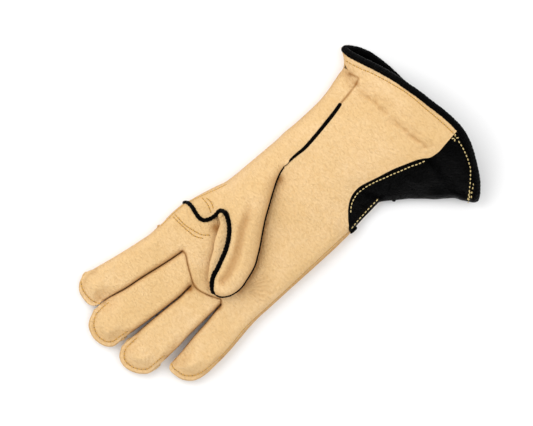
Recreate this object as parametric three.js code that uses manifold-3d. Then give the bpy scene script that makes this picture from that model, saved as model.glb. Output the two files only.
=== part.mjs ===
// A leather work glove with a wide flared cuff, for a right hand. It lies palm up on its back,
// with the thumb folded over the palm. X runs across the hand, from the thumb side to the
// little-finger side, Y runs from the fingertips to the cuff and Z is up. Lengths are in mm.
import * as THREE from "three";
import { mergeVertices } from "three/addons/utils/BufferGeometryUtils.js";
import Module from "manifold-3d";

const wasm = await Module();
wasm.setup();

// Driving sizes
const HAND_WIDTH = 108;
const CUFF_WIDTH = 164;
const HAND_LENGTH = 114;
const CUFF_LENGTH = 114;
const FINGER_LENGTH = 94;
const FINGER_HEIGHT = 17;
const PALM_HEIGHT = 25;
const MOUTH_HEIGHT = 47;
const SEAM_LEVEL = 7;
const CUFF_OFFSET = 20.25;
const LEATHER_WALL = 1.4;
const SEAM_GAP = 0.3;
const WELT_RADIUS = 1.6;
const BINDING_WIDTH = 5.5;
const BINDING_THICKNESS = 5.2;
const FACING_DEPTH = 28;
const FLANGE_WALL = 1.2;
const RIM_COVER = 1.5;
const WELT_SINK = 0.4;
const STRIP_MOUTH = 6.6;
const STRIP_TIP = 2.4;
const THUMB_SEAM_SHARE = 0.42;
const THUMB_FREE_ROW = 5;
const THUMB_SECTION_PITCH = 8;
const ROOT_INSET = 0.2;
const TAB_SIZE = { width: 3, length: 6.6, height: 2.4 };

// Places on the flat glove are [across, along] pairs. Across is a share of half the width at
// that place. Along is 0 at the wrist, -1 at the knuckles, -2 one finger length further on,
// and 1 at the rim of the cuff.
const BODY_SECTIONS = [
  { along: -0.982, left: -0.994, right: 0.980, rise: [0.68, 0.70, 0.70, 0.70, 0.70, 0.68, 0.64] },
  { along: -0.798, left: -0.989, right: 0.969, rise: [0.64, 0.76, 0.80, 0.80, 0.78, 0.72, 0.64] },
  { along: -0.579, left: -0.907, right: 0.965, rise: [0.64, 0.84, 0.92, 0.92, 0.88, 0.78, 0.64] },
  { along: -0.404, left: -0.806, right: 0.965, rise: [0.64, 0.88, 1.00, 1.00, 0.96, 0.84, 0.68] },
  { along: -0.184, left: -0.781, right: 0.963, rise: [0.68, 0.88, 1.00, 1.04, 1.00, 0.84, 0.68] },
  { along: 0.000, left: -0.769, right: 0.959, rise: [0.68, 0.84, 0.96, 1.00, 0.96, 0.80, 0.56] },
  { along: 0.123, left: -0.764, right: 0.853, rise: [0.58, 0.76, 0.87, 0.90, 0.87, 0.69, 0.32] },
  { along: 0.237, left: -0.759, right: 0.754, rise: [0.53, 0.73, 0.83, 0.86, 0.83, 0.60, 0.26] },
  { along: 0.333, left: -0.756, right: 0.722, rise: [0.49, 0.68, 0.80, 0.84, 0.80, 0.62, 0.37] },
  { along: 0.474, left: -0.764, right: 0.839, rise: [0.45, 0.62, 0.76, 0.82, 0.79, 0.62, 0.34] },
  { along: 0.605, left: -0.807, right: 0.962, rise: [0.39, 0.55, 0.73, 0.81, 0.81, 0.63, 0.37] },
  { along: 0.728, left: -0.843, right: 1.072, rise: [0.34, 0.49, 0.71, 0.85, 0.88, 0.66, 0.34] },
  { along: 0.807, left: -1.003, right: 1.151, rise: [0.28, 0.49, 0.75, 0.94, 0.96, 0.70, 0.33] },
  { along: 0.956, left: -1.162, right: 1.227, rise: [0.26, 0.46, 0.78, 0.96, 0.98, 0.65, 0.30] },
  { along: 1.070, left: -1.241, right: 1.248, rise: [0.25, 0.45, 0.76, 0.95, 0.97, 0.64, 0.29] },
];
const FINGER_SECTIONS = {
  index: [
    { along: -0.895, left: -0.989, right: -0.491, rise: 0.94 },
    { along: -0.982, left: -0.996, right: -0.491, rise: 0.97 },
    { along: -1.213, left: -1.020, right: -0.548, rise: 1.00 },
    { along: -1.362, left: -1.061, right: -0.594, rise: 1.00 },
    { along: -1.511, left: -1.120, right: -0.631, rise: 1.00 },
    { along: -1.617, left: -1.154, right: -0.672, rise: 1.00 },
    { along: -1.702, left: -1.139, right: -0.709, rise: 0.91 },
    { along: -1.761, left: -1.083, right: -0.741, rise: 0.76 },
    { along: -1.798, left: -1.000, right: -0.806, rise: 0.59 },
    { along: -1.816, left: -0.926, right: -0.861, rise: 0.45 },
  ],
  middle: [
    { along: -0.895, left: -0.463, right: -0.037, rise: 0.94 },
    { along: -0.982, left: -0.469, right: 0.002, rise: 0.97 },
    { along: -1.085, left: -0.491, right: 0.000, rise: 1.00 },
    { along: -1.170, left: -0.515, right: -0.017, rise: 1.00 },
    { along: -1.362, left: -0.574, right: -0.028, rise: 1.00 },
    { along: -1.489, left: -0.606, right: -0.044, rise: 1.00 },
    { along: -1.660, left: -0.654, right: -0.083, rise: 1.00 },
    { along: -1.798, left: -0.665, right: -0.117, rise: 0.94 },
    { along: -1.883, left: -0.620, right: -0.157, rise: 0.79 },
    { along: -1.941, left: -0.528, right: -0.231, rise: 0.59 },
    { along: -1.968, left: -0.444, right: -0.324, rise: 0.45 },
  ],
  ring: [
    { along: -0.895, left: -0.019, right: 0.481, rise: 0.94 },
    { along: -0.982, left: -0.020, right: 0.513, rise: 0.97 },
    { along: -1.085, left: -0.019, right: 0.489, rise: 1.00 },
    { along: -1.170, left: 0.006, right: 0.489, rise: 1.00 },
    { along: -1.319, left: 0.002, right: 0.506, rise: 1.00 },
    { along: -1.489, left: -0.013, right: 0.526, rise: 1.00 },
    { along: -1.660, left: -0.020, right: 0.531, rise: 1.00 },
    { along: -1.787, left: -0.013, right: 0.509, rise: 0.94 },
    { along: -1.862, left: 0.028, right: 0.463, rise: 0.79 },
    { along: -1.915, left: 0.102, right: 0.370, rise: 0.59 },
    { along: -1.939, left: 0.176, right: 0.278, rise: 0.45 },
  ],
  little: [
    { along: -0.895, left: 0.515, right: 0.969, rise: 0.94 },
    { along: -0.982, left: 0.498, right: 0.976, rise: 0.94 },
    { along: -1.064, left: 0.520, right: 0.996, rise: 0.94 },
    { along: -1.234, left: 0.550, right: 1.033, rise: 0.94 },
    { along: -1.404, left: 0.587, right: 1.050, rise: 0.94 },
    { along: -1.564, left: 0.639, right: 1.006, rise: 0.85 },
    { along: -1.628, left: 0.672, right: 0.944, rise: 0.71 },
    { along: -1.665, left: 0.722, right: 0.870, rise: 0.56 },
    { along: -1.678, left: 0.759, right: 0.824, rise: 0.45 },
  ],
};
const INDEX_FLANGE = [
  [-0.991, -1.617], [-1.157, -1.628], [-1.185, -1.670], [-1.176, -1.734], [-1.130, -1.787],
  [-1.046, -1.830], [-0.954, -1.846], [-0.843, -1.851], [-0.769, -1.835], [-0.720, -1.803],
  [-0.706, -1.745], [-0.769, -1.638],
];
const MIDDLE_FLANGE = [
  [-0.546, -1.681], [-0.676, -1.713], [-0.694, -1.819], [-0.676, -1.872], [-0.620, -1.936],
  [-0.546, -1.979], [-0.398, -2.005], [-0.269, -1.995], [-0.176, -1.968], [-0.120, -1.926],
  [-0.111, -1.872], [-0.102, -1.819], [-0.076, -1.713], [-0.176, -1.660],
];
const RING_FLANGE = [
  [0.083, -1.745], [-0.028, -1.766], [-0.019, -1.872], [0.009, -1.904], [0.065, -1.947],
  [0.139, -1.968], [0.213, -1.973], [0.306, -1.963], [0.398, -1.936], [0.472, -1.899],
  [0.528, -1.851], [0.537, -1.766], [0.544, -1.681], [0.435, -1.660],
];
const LITTLE_FLANGE = [
  [0.750, -1.574], [0.650, -1.628], [0.657, -1.691], [0.713, -1.713], [0.806, -1.707],
  [0.898, -1.691], [0.972, -1.665], [1.046, -1.617], [1.083, -1.553], [1.102, -1.468],
  [1.102, -1.340], [1.083, -1.213], [1.056, -1.096], [1.028, -0.991], [1.009, -0.886],
  [1.002, -0.754], [1.002, -0.404], [0.998, -0.140], [0.981, -0.009], [0.917, -0.009],
  [0.917, -0.404], [0.917, -0.930], [0.972, -1.234], [0.954, -1.447],
];
const INDEX_SLIT = [
  [-0.476, -0.956], [-0.481, -1.000], [-0.500, -1.085], [-0.541, -1.213], [-0.585, -1.362],
  [-0.622, -1.511], [-0.665, -1.617], [-0.698, -1.702], [-0.713, -1.787], [-0.731, -1.894],
  [-0.731, -2.085],
];
const MIDDLE_SLIT = [
  [-0.009, -1.074], [-0.009, -1.149], [-0.002, -1.234], [-0.017, -1.362], [-0.031, -1.511],
  [-0.052, -1.660], [-0.070, -1.787], [-0.070, -2.032],
];
const RING_SLIT = [
  [0.480, -0.995], [0.506, -1.085], [0.522, -1.234], [0.543, -1.362], [0.567, -1.511],
  [0.593, -1.638], [0.583, -2.032],
];
const KNUCKLE_SEAM = [
  [-0.476, -0.956], [-0.398, -0.965], [-0.269, -1.000], [-0.120, -1.043], [-0.009, -1.074],
  [0.065, -1.080], [0.157, -1.069], [0.287, -1.037], [0.380, -1.005], [0.435, -0.989],
  [0.491, -1.005],
];
const CUFF_SIDE_SEAM = [
  [-0.398, -0.044], [-0.407, 0.018], [-0.420, 0.140], [-0.464, 0.281], [-0.527, 0.447],
  [-0.564, 0.553], [-0.589, 0.614], [-0.613, 0.684], [-0.642, 0.728], [-0.702, 0.746],
  [-0.836, 0.754], [-0.965, 0.798], [-1.131, 0.912],
];
const INDEX_WRAP = [
  [-0.880, -1.628], [-0.843, -1.340], [-0.806, -0.982], [-0.796, -0.727],
];
const SIDE_WRAP = [
  [-0.796, -0.727], [-0.713, -0.579], [-0.639, -0.404], [-0.620, -0.053], [-0.628, 0.342],
  [-0.672, 0.561], [-0.729, 0.746],
];
const GUSSET_FRONT_SEAM = [
  [1.046, -0.022], [0.963, -0.009], [0.887, 0.013], [0.772, 0.044], [0.653, 0.083], [0.580, 0.114],
  [0.504, 0.154], [0.456, 0.193], [0.424, 0.237], [0.414, 0.272], [0.411, 0.325], [0.412, 0.386],
  [0.408, 0.456], [0.409, 0.518], [0.420, 0.588], [0.431, 0.658], [0.450, 0.706], [0.473, 0.746],
  [0.459, 0.807], [0.434, 0.851], [0.396, 0.912], [0.353, 0.978], [0.302, 1.088],
];
const GUSSET_BACK_SEAM = [
  [1.046, -0.013], [0.957, 0.018], [0.913, 0.053], [0.846, 0.123], [0.770, 0.202], [0.678, 0.316],
  [0.567, 0.509], [0.463, 0.737], [0.319, 1.088],
];
const FRONT_RIM = [
  [-1.180, 0.763], [-1.070, 0.794], [-1.002, 0.818], [-0.884, 0.830], [-0.755, 0.860],
  [-0.628, 0.890], [-0.503, 0.917], [-0.380, 0.939], [-0.258, 0.956], [-0.138, 0.974],
  [-0.019, 0.989], [0.099, 1.007], [0.217, 1.018], [0.337, 1.020], [0.465, 1.004], [0.600, 0.974],
  [0.743, 0.934], [0.893, 0.890], [0.977, 0.855], [1.067, 0.816], [1.149, 0.772], [1.307, 0.702],
];
const BACK_RIM = [
  [-1.180, 0.763], [-1.070, 0.794], [-1.001, 0.829], [-0.881, 0.882], [-0.754, 0.921],
  [-0.629, 0.939], [-0.506, 0.952], [-0.382, 0.956], [-0.259, 0.963], [-0.138, 0.972],
  [-0.017, 0.982], [0.102, 0.994], [0.223, 1.000], [0.345, 1.000], [0.471, 0.989], [0.606, 0.961],
  [0.750, 0.921], [0.900, 0.877], [0.985, 0.842], [1.075, 0.803], [1.155, 0.763], [1.314, 0.693],
];
const THUMB_SECTIONS = [
  { near: [-0.627, 0.123], far: [-0.444, 0.123], floor: 0.40, top: 0.60 },
  { near: [-0.676, -0.035], far: [-0.413, -0.035], floor: 0.40, top: 1.00 },
  { near: [-0.713, -0.193], far: [-0.287, -0.175], floor: 0.40, top: 1.22 },
  { near: [-0.731, -0.351], far: [-0.102, -0.316], floor: 0.40, top: 1.34 },
  { near: [-0.722, -0.456], far: [0.083, -0.452], floor: 0.48, top: 1.40 },
  { near: [-0.602, -0.526], far: [0.250, -0.548], floor: 0.80, top: 1.44 },
  { near: [-0.454, -0.583], far: [0.343, -0.614], floor: 0.95, top: 1.46 },
  { near: [-0.269, -0.632], far: [0.407, -0.675], floor: 0.94, top: 1.46 },
  { near: [-0.139, -0.697], far: [0.457, -0.746], floor: 0.90, top: 1.44 },
  { near: [-0.043, -0.768], far: [0.483, -0.807], floor: 0.86, top: 1.41 },
  { near: [0.028, -0.833], far: [0.494, -0.860], floor: 0.83, top: 1.37 },
  { near: [0.078, -0.895], far: [0.487, -0.912], floor: 0.80, top: 1.31 },
  { near: [0.148, -0.952], far: [0.435, -0.956], floor: 0.79, top: 1.21 },
  { near: [0.250, -0.985], far: [0.361, -0.985], floor: 0.80, top: 1.08 },
];
const THUMB_WELT = [
  [-0.987, -0.726], [-0.944, -0.714], [-0.861, -0.709], [-0.769, -0.717], [-0.676, -0.722],
  [-0.602, -0.711], [-0.556, -0.675], [-0.539, -0.632], [-0.539, -0.596],
];
const WRIST_WELT = [
  [-0.407, -0.070], [-0.407, 0.018], [-0.411, 0.079], [-0.420, 0.140], [-0.442, 0.211],
  [-0.467, 0.281], [-0.500, 0.368], [-0.530, 0.447], [-0.557, 0.509], [-0.571, 0.544],
];
// Each side strip runs across from the middle of one finger to the middle of the next
const FINGER_STRIPS = {
  fourchette_index_middle: { from: -0.80, to: -0.25, start: -0.92, end: -1.66 },
  fourchette_middle_ring: { from: -0.25, to: 0.24, start: -0.92, end: -1.78 },
  fourchette_ring_little: { from: 0.24, to: 0.76, start: -0.92, end: -1.56 },
};
const THUMB_ROOT_TURN = [-0.52, -0.545];
const TAB_PLACE = [0.958, 0.032];
const RIM_CORNERS = { left: -1.01, right: 1.12 };

// How finely the skins are stepped, and how square their edges are
const COLUMNS = 12;
const FINGER_COLUMNS = 6;
const THUMB_COLUMNS = 8;
const BEAD_STEP = 6.5;
const FLAT_SHARE = 1.04;
const TIP_FULLNESS = 0.8;
const EDGE_POWER = { body: 6, finger: 3, thumb: 2.6 };
const LEAST_DEPTH = 0.25;

// Where the hollow fingers open into the hand, and how far the skins run past the rims
const HOLLOW_START = -0.895;
const RIM_REACH = 1.07;

// Cutting shapes reach far past the glove, and over the seam level by a little
const FAR = 400;
const HIGH = 120;
const SEAM_LAP = 0.1;
const FOLD_LAP = 0.5;
const SLOT_LAP = 1;
const BACK_LAYER_GAPS = 6;
const UNDER_THUMB_LEAD = 0.6;
const UNDER_THUMB_STEP = 0.8;
const UNDER_THUMB_MARGIN = 0.2;

// Smooth curve through a table's column, read at one place along it
function readColumn(rows, read, along) {
  let i = 0;
  while (i < rows.length - 2 && along > rows[i + 1].along) {
    i += 1;
  }
  const slope = (k) => {
    const a = rows[Math.max(0, k - 1)];
    const b = rows[Math.min(rows.length - 1, k + 1)];
    return (read(b) - read(a)) / (b.along - a.along);
  };
  const [p, q] = [rows[i], rows[i + 1]];
  const span = q.along - p.along;
  const t = THREE.MathUtils.clamp((along - p.along) / span, 0, 1);
  const tt = t * t;
  const ttt = tt * t;
  return (2 * ttt - 3 * tt + 1) * read(p) + (ttt - 2 * tt + t) * span * slope(i)
    + (3 * tt - 2 * ttt) * read(q) + (ttt - tt) * span * slope(i + 1);
}

function place(across, along) {
  const flare = Math.max(0, along);
  const half = (HAND_WIDTH + (CUFF_WIDTH - HAND_WIDTH) * flare) / 2;
  const x = across * half + CUFF_OFFSET * flare;
  if (along < -1) {
    return [x, -HAND_LENGTH + (along + 1) * FINGER_LENGTH];
  }
  return [x, along * (along < 0 ? HAND_LENGTH : CUFF_LENGTH)];
}

function alongOf(y) {
  if (y < -HAND_LENGTH) {
    return -1 + (y + HAND_LENGTH) / FINGER_LENGTH;
  }
  return y < 0 ? y / HAND_LENGTH : y / CUFF_LENGTH;
}

function moundHeight(along) {
  return PALM_HEIGHT + (MOUTH_HEIGHT - PALM_HEIGHT) * Math.max(0, along);
}

// A padded edge: 0 at the two sides, level in between
function edgeProfile(a, power) {
  return Math.sqrt(Math.max(0, 1 - Math.abs(a) ** power));
}

// Height of the hand and cuff across one section, t running 0 to 1 from side to side
function bodyRise(along, t) {
  const count = BODY_SECTIONS[0].rise.length;
  const column = (k) => {
    const held = THREE.MathUtils.clamp(k, 0, count - 1);
    return readColumn(BODY_SECTIONS, (row) => row.rise[held], along);
  };
  const at = THREE.MathUtils.clamp(t, 0, 1) * (count - 1);
  const k = Math.min(Math.floor(at), count - 2);
  const f = at - k;
  const [a, b, c, d] = [column(k - 1), column(k), column(k + 1), column(k + 2)];
  return b + 0.5 * f * (c - a + f * (2 * a - 5 * b + 4 * c - d + f * (3 * (b - c) + d - a)));
}

function bodySection(along) {
  return {
    left: place(readColumn(BODY_SECTIONS, (row) => row.left, along), along),
    right: place(readColumn(BODY_SECTIONS, (row) => row.right, along), along),
    top: (t) => bodyRise(along, t) * moundHeight(along),
    power: EDGE_POWER.body,
  };
}

// A finger's underside rises to the seam as its tip closes
function fingerSection(rows, along) {
  const top = readColumn(rows, (row) => row.rise, along) * FINGER_HEIGHT;
  const fullness = (top - SEAM_LEVEL) / (TIP_FULLNESS * (FINGER_HEIGHT - SEAM_LEVEL));
  return {
    floor: SEAM_LEVEL * (1 - Math.min(1, fullness)),
    left: place(readColumn(rows, (row) => row.left, along), along),
    right: place(readColumn(rows, (row) => row.right, along), along),
    top: () => top,
    power: EDGE_POWER.finger,
  };
}

// Height of the palm-side skin over a place of the hand or cuff
function skinHeight(x, y) {
  const section = bodySection(alongOf(y));
  const t = THREE.MathUtils.clamp((x - section.left[0]) / (section.right[0] - section.left[0]), 0, 1);
  return SEAM_LEVEL + (section.top(t) - SEAM_LEVEL) * edgeProfile(2 * t - 1, section.power);
}

function closedGeometry(positions, triangles) {
  const geometry = new THREE.BufferGeometry();
  geometry.setAttribute("position", new THREE.Float32BufferAttribute(positions, 3));
  geometry.setIndex(triangles);
  return geometry;
}

function toSolid(geometry) {
  const bare = geometry.clone();
  bare.deleteAttribute("normal");
  bare.deleteAttribute("uv");
  const merged = mergeVertices(bare, 1e-4);
  return new wasm.Manifold(new wasm.Mesh({
    numProp: 3,
    vertProperties: Float32Array.from(merged.attributes.position.array),
    triVerts: Uint32Array.from(merged.index.array),
  }));
}

// A closed skin over rings of points, each ring the same length, with both ends capped
function ringSolid(rings) {
  const size = rings[0].length;
  const positions = rings.flat(2);
  const triangles = [];
  for (let i = 0; i < rings.length - 1; i += 1) {
    for (let j = 0; j < size; j += 1) {
      const next = (j + 1) % size;
      const [a, b, c, d] = [i * size + j, i * size + next, (i + 1) * size + next, (i + 1) * size + j];
      triangles.push(a, b, c, a, c, d);
    }
  }
  const last = (rings.length - 1) * size;
  const half = size / 2;
  for (let j = 0; j < half; j += 1) {
    const [a, b, c, d] = [j, j + 1, size - j - 1, (size - j) % size];
    if (d !== a) {
      triangles.push(a, d, b);
      triangles.push(last + a, last + b, last + d);
    }
    if (c !== b) {
      triangles.push(b, d, c);
      triangles.push(last + b, last + c, last + d);
    }
  }
  return toSolid(closedGeometry(positions, triangles));
}

// One ring of a flat hollow shape: along the top from left to right, back along the bottom
function pillowRing(section, columns, inset) {
  const { left, right, top, power } = section;
  const ring = [];
  const across = [right[0] - left[0], right[1] - left[1]];
  const width = Math.hypot(...across);
  const floor = section.floor ?? 0;
  const level = section.level ?? SEAM_LEVEL;
  for (let j = 0; j < 2 * columns; j += 1) {
    const upper = j < columns;
    const a = -Math.cos((Math.PI * j) / columns);
    const t = inset / width + ((a + 1) / 2) * (1 - (2 * inset) / width);
    const round = edgeProfile(a, power);
    const crown = Math.max(LEAST_DEPTH, top(t) - level - inset);
    const depth = Math.max(LEAST_DEPTH, level - floor - inset);
    const z = upper ? level + crown * round : level - depth * Math.min(1, round * FLAT_SHARE);
    ring.push([left[0] + across[0] * t, left[1] + across[1] * t, z]);
  }
  return ring;
}

function pillow(sections, columns, inset) {
  return ringSolid(sections.map((section) => pillowRing(section, columns, inset)));
}

// The places of a table's rows that lie between two ends, with the ends themselves
function spread(rows, low, high) {
  const within = rows.map((row) => row.along).filter((value) => value > low + 1e-3 && value < high - 1e-3);
  return [low, ...within, high];
}

// An upright prism over an outline of [x, y] points, between two heights
function prism(outline, low, high) {
  const shape = new THREE.Shape(outline.map(([x, y]) => new THREE.Vector2(x, y)));
  const geometry = new THREE.ExtrudeGeometry(shape, { depth: high - low, bevelEnabled: false });
  return toSolid(geometry.translate(0, 0, low));
}

// A narrow upright slot that follows a line of [x, y] points
function slot(line, width, low, high) {
  const sides = [[], []];
  line.forEach((point, i) => {
    const before = line[Math.max(0, i - 1)];
    const after = line[Math.min(line.length - 1, i + 1)];
    const [dx, dy] = [after[0] - before[0], after[1] - before[1]];
    const length = Math.hypot(dx, dy);
    const [nx, ny] = [(-dy / length) * (width / 2), (dx / length) * (width / 2)];
    sides[0].push([point[0] + nx, point[1] + ny]);
    sides[1].push([point[0] - nx, point[1] - ny]);
  });
  return prism([...sides[0], ...sides[1].reverse()], low, high);
}

function bead(points, radius) {
  const path = new THREE.CatmullRomCurve3(points.map((p) => new THREE.Vector3(...p)), false, "centripetal");
  const outline = new THREE.Shape();
  for (let k = 0; k < 8; k += 1) {
    const angle = (Math.PI * (2 * k + 1)) / 8;
    outline[k ? "lineTo" : "moveTo"](radius * Math.cos(angle), radius * Math.sin(angle));
  }
  const steps = Math.round(path.getLength() / BEAD_STEP);
  return toSolid(new THREE.ExtrudeGeometry(outline, { steps, extrudePath: path, bevelEnabled: false }));
}

// A band with a rounded section, swept along a rim; the section stands on the rim's own plane
function band(points, width, thickness) {
  const rings = points.map((point, i) => {
    const before = points[Math.max(0, i - 1)];
    const after = points[Math.min(points.length - 1, i + 1)];
    const forward = new THREE.Vector3(...after).sub(new THREE.Vector3(...before)).normalize();
    const side = new THREE.Vector3(0, 0, 1).cross(forward).normalize();
    const up = forward.clone().cross(side).normalize();
    return [[1, -0.5], [1, 0.5], [0.5, 1], [-0.5, 1], [-1, 0.5], [-1, -0.5], [-0.5, -1], [0.5, -1]]
      .map(([s, u]) => new THREE.Vector3(...point)
        .addScaledVector(side, (s * width) / 2).addScaledVector(up, (u * thickness) / 2).toArray());
  });
  return ringSolid(rings);
}

const onPlan = (list) => list.map(([across, along]) => place(across, along));
const range = (from, to) => Array.from({ length: to - from + 1 }, (_, i) => from + i);
const add = (...solids) => solids.reduce((sum, solid) => sum.add(solid));
const cutAway = (solid, ...tools) => tools.reduce((rest, tool) => rest.subtract(tool), solid);

// Thumb sections run from its inner side to its outer side, and from the wrist to the tip
const thumbRows = THUMB_SECTIONS.map((row, i) => ({ ...row, along: i }));

function thumbSection(at) {
  const read = (pick) => readColumn(thumbRows, pick, at);
  const floor = read((row) => row.floor) * PALM_HEIGHT;
  const top = read((row) => row.top) * PALM_HEIGHT;
  return {
    left: place(read((row) => row.near[0]), read((row) => row.near[1])),
    right: place(read((row) => row.far[0]), read((row) => row.far[1])),
    top: () => top,
    floor,
    level: floor + (top - floor) * THUMB_SEAM_SHARE,
    power: EDGE_POWER.thumb,
  };
}

const bodyAlongs = spread(BODY_SECTIONS, BODY_SECTIONS[0].along, RIM_REACH);

function bodyPillow(inset) {
  const alongs = [bodyAlongs[0] + inset / HAND_LENGTH, ...bodyAlongs.slice(1)];
  return pillow(alongs.map(bodySection), COLUMNS, inset);
}

function fingerPillow(rows, inset) {
  const tip = rows[rows.length - 1].along + inset / FINGER_LENGTH;
  const fromTip = [...rows].reverse();
  const alongs = spread(fromTip, tip, HOLLOW_START);
  return pillow(alongs.map((value) => fingerSection(fromTip, value)), FINGER_COLUMNS, inset);
}

// The thumb's skin from one of its sections to another, its tip drawn in by the inset
function thumbPillow(inset, from, to) {
  const whole = range(Math.ceil(from), Math.ceil(to) - 1);
  const ends = [...whole, to - inset / THUMB_SECTION_PITCH];
  return pillow(ends.reverse().map(thumbSection), THUMB_COLUMNS, inset);
}

// The whole outside and the whole hollow of the hand, fingers and cuff
const fingerNames = Object.keys(FINGER_SECTIONS);
const fingers = (inset) => fingerNames.map((name) => fingerPillow(FINGER_SECTIONS[name], inset));
const wholeSkin = (inset) => add(bodyPillow(inset), ...fingers(inset));
const outside = wholeSkin(0);
const hollow = wholeSkin(LEATHER_WALL);
const body = outside.subtract(hollow);

const frontRim = onPlan(FRONT_RIM);
const backRim = onPlan(BACK_RIM);

// Moves a line of points sideways, to the right of its direction for a positive distance
function shiftLine(line, distance) {
  return line.map((point, i) => {
    const before = line[Math.max(0, i - 1)];
    const after = line[Math.min(line.length - 1, i + 1)];
    const [dx, dy] = [after[0] - before[0], after[1] - before[1]];
    const length = Math.hypot(dx, dy);
    return [point[0] + (dy / length) * distance, point[1] - (dx / length) * distance];
  });
}

// Everything on the hand side of a rim line that runs from the left to the right
function belowRim(rim, distance, low, high) {
  const line = shiftLine(rim, distance);
  const [leftEnd, rightEnd] = [line[0][1], line[line.length - 1][1]];
  return prism([...line, [FAR, rightEnd], [FAR, -FAR], [-FAR, -FAR], [-FAR, leftEnd]], low, high);
}

const seamTop = SEAM_LEVEL + SEAM_GAP / 2;
const seamBottom = SEAM_LEVEL - SEAM_GAP / 2;
const upper = (low = seamTop) => belowRim(frontRim, RIM_COVER, low, HIGH);
const lower = (high = seamBottom) => belowRim(backRim, RIM_COVER, -HIGH, high);

// A point on a thumb section, a share of the way from its outer side to its inner side
function inward(row, share) {
  const [near, far] = [place(...row.near), place(...row.far)];
  return [far[0] + (near[0] - far[0]) * share, far[1] + (near[1] - far[1]) * share];
}

// Outlines that part the leathers
const sideSeam = onPlan(CUFF_SIDE_SEAM);
const crotchWelt = onPlan(THUMB_WELT);
const rootSections = THUMB_SECTIONS.slice(2, THUMB_FREE_ROW).reverse();
const thumbRoot = rootSections.map((row) => place(...row.far));
const thumbInset = rootSections.map((row) => inward(row, ROOT_INSET));
const sideLine = [...crotchWelt, place(...THUMB_ROOT_TURN), ...thumbInset, ...sideSeam];
const sideOutline = [...sideLine, [-FAR, sideSeam[sideSeam.length - 1][1]], [-FAR, crotchWelt[0][1]]];
const indexWrap = onPlan(INDEX_WRAP);
const sideWrap = onPlan(SIDE_WRAP);
const toLeft = (line) => [...line, [-FAR, line[line.length - 1][1]], [-FAR, line[0][1]]];
const gussetFront = onPlan(GUSSET_FRONT_SEAM);
const gussetBack = onPlan(GUSSET_BACK_SEAM);
const toRight = (line) => [...line, [FAR, line[line.length - 1][1]], [FAR, line[0][1]]];
const [indexSlit, middleSlit, ringSlit] = [INDEX_SLIT, MIDDLE_SLIT, RING_SLIT].map(onPlan);
const slits = [indexSlit, middleSlit, ringSlit];
const knuckle = onPlan(KNUCKLE_SEAM);
const knuckleOutline = [...knuckle, ...ringSlit.slice(1), ...indexSlit.slice(1).reverse()];

const seamSlot = (line) => slot(line, SEAM_GAP, -HIGH, HIGH);
const sideSlot = seamSlot(sideSeam);
const wrapSlot = slot([...indexWrap, ...sideWrap.slice(1)], SEAM_GAP, -HIGH, SEAM_LEVEL + SLOT_LAP);
const crossSlot = ([x, y]) => slot([[-FAR, y], [x, y]], SEAM_GAP, -HIGH, SEAM_LEVEL + SLOT_LAP);
const wrapEnds = [indexWrap[0], sideWrap[0], sideWrap[sideWrap.length - 1]].map(crossSlot);
const indexWrapCut = prism(toLeft(indexWrap), -HIGH, SEAM_LEVEL + FOLD_LAP);
const sideWrapCut = prism(toLeft(sideWrap), -HIGH, SEAM_LEVEL + FOLD_LAP);
const gussetSlot = slot(gussetFront, SEAM_GAP, SEAM_LEVEL - SLOT_LAP, HIGH);
const gussetBackSlot = slot(gussetBack, SEAM_GAP, -HIGH, SEAM_LEVEL + SLOT_LAP);
const slitSlots = slits.map((line) => slot(line, SEAM_GAP, -HIGH, HIGH));
const knuckleSlot = slot(knuckle, SEAM_GAP, SEAM_LEVEL, HIGH);
const sideCut = prism(sideOutline, -HIGH, HIGH);
const gussetTop = prism(toRight(gussetFront), SEAM_LEVEL - SEAM_LAP, HIGH);
const gussetBottom = prism(toRight(gussetBack), -HIGH, SEAM_LEVEL + SEAM_LAP);
const knuckleCut = prism(knuckleOutline, -HIGH, HIGH);

// Side strips between the fingers: a wedge across each slit, widest at the crotch
function stripWedge(strip, grow) {
  const [x0] = place(strip.from, -1);
  const [x1] = place(strip.to, -1);
  const start = place(0, strip.start)[1];
  const end = place(0, strip.end)[1];
  const tall = STRIP_MOUTH / 2 + grow;
  const low = STRIP_TIP / 2 + grow;
  const shape = new THREE.Shape([
    new THREE.Vector2(start + grow, SEAM_LEVEL - tall), new THREE.Vector2(start + grow, SEAM_LEVEL + tall),
    new THREE.Vector2(end - grow, SEAM_LEVEL + low), new THREE.Vector2(end - grow, SEAM_LEVEL - low),
  ]);
  const geometry = new THREE.ExtrudeGeometry(shape, { depth: x1 - x0 + 2 * grow, bevelEnabled: false });
  geometry.rotateX(Math.PI / 2).rotateZ(Math.PI / 2).translate(x0 - grow, 0, 0);
  return toSolid(geometry);
}

// Stitched edges that stand out flat round the fingertips and down the little-finger side
function flange(outline, low, high) {
  return prism(onPlan(outline), low, high).subtract(hollow);
}
const flangeTop = (outline) => flange(outline, seamTop, seamTop + FLANGE_WALL);
const flangeBottom = (outline) => flange(outline, seamBottom - FLANGE_WALL, seamBottom);

// The thumb: a hollow tube that rises out of the palm and lies over it
const thumbEnd = THUMB_SECTIONS.length - 1;
const thumbOut = thumbPillow(0, 0, thumbEnd);
const thumbIn = thumbPillow(LEATHER_WALL, 0, thumbEnd);
const thumbRootGrown = thumbPillow(-SEAM_GAP, 0, THUMB_FREE_ROW);

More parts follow.
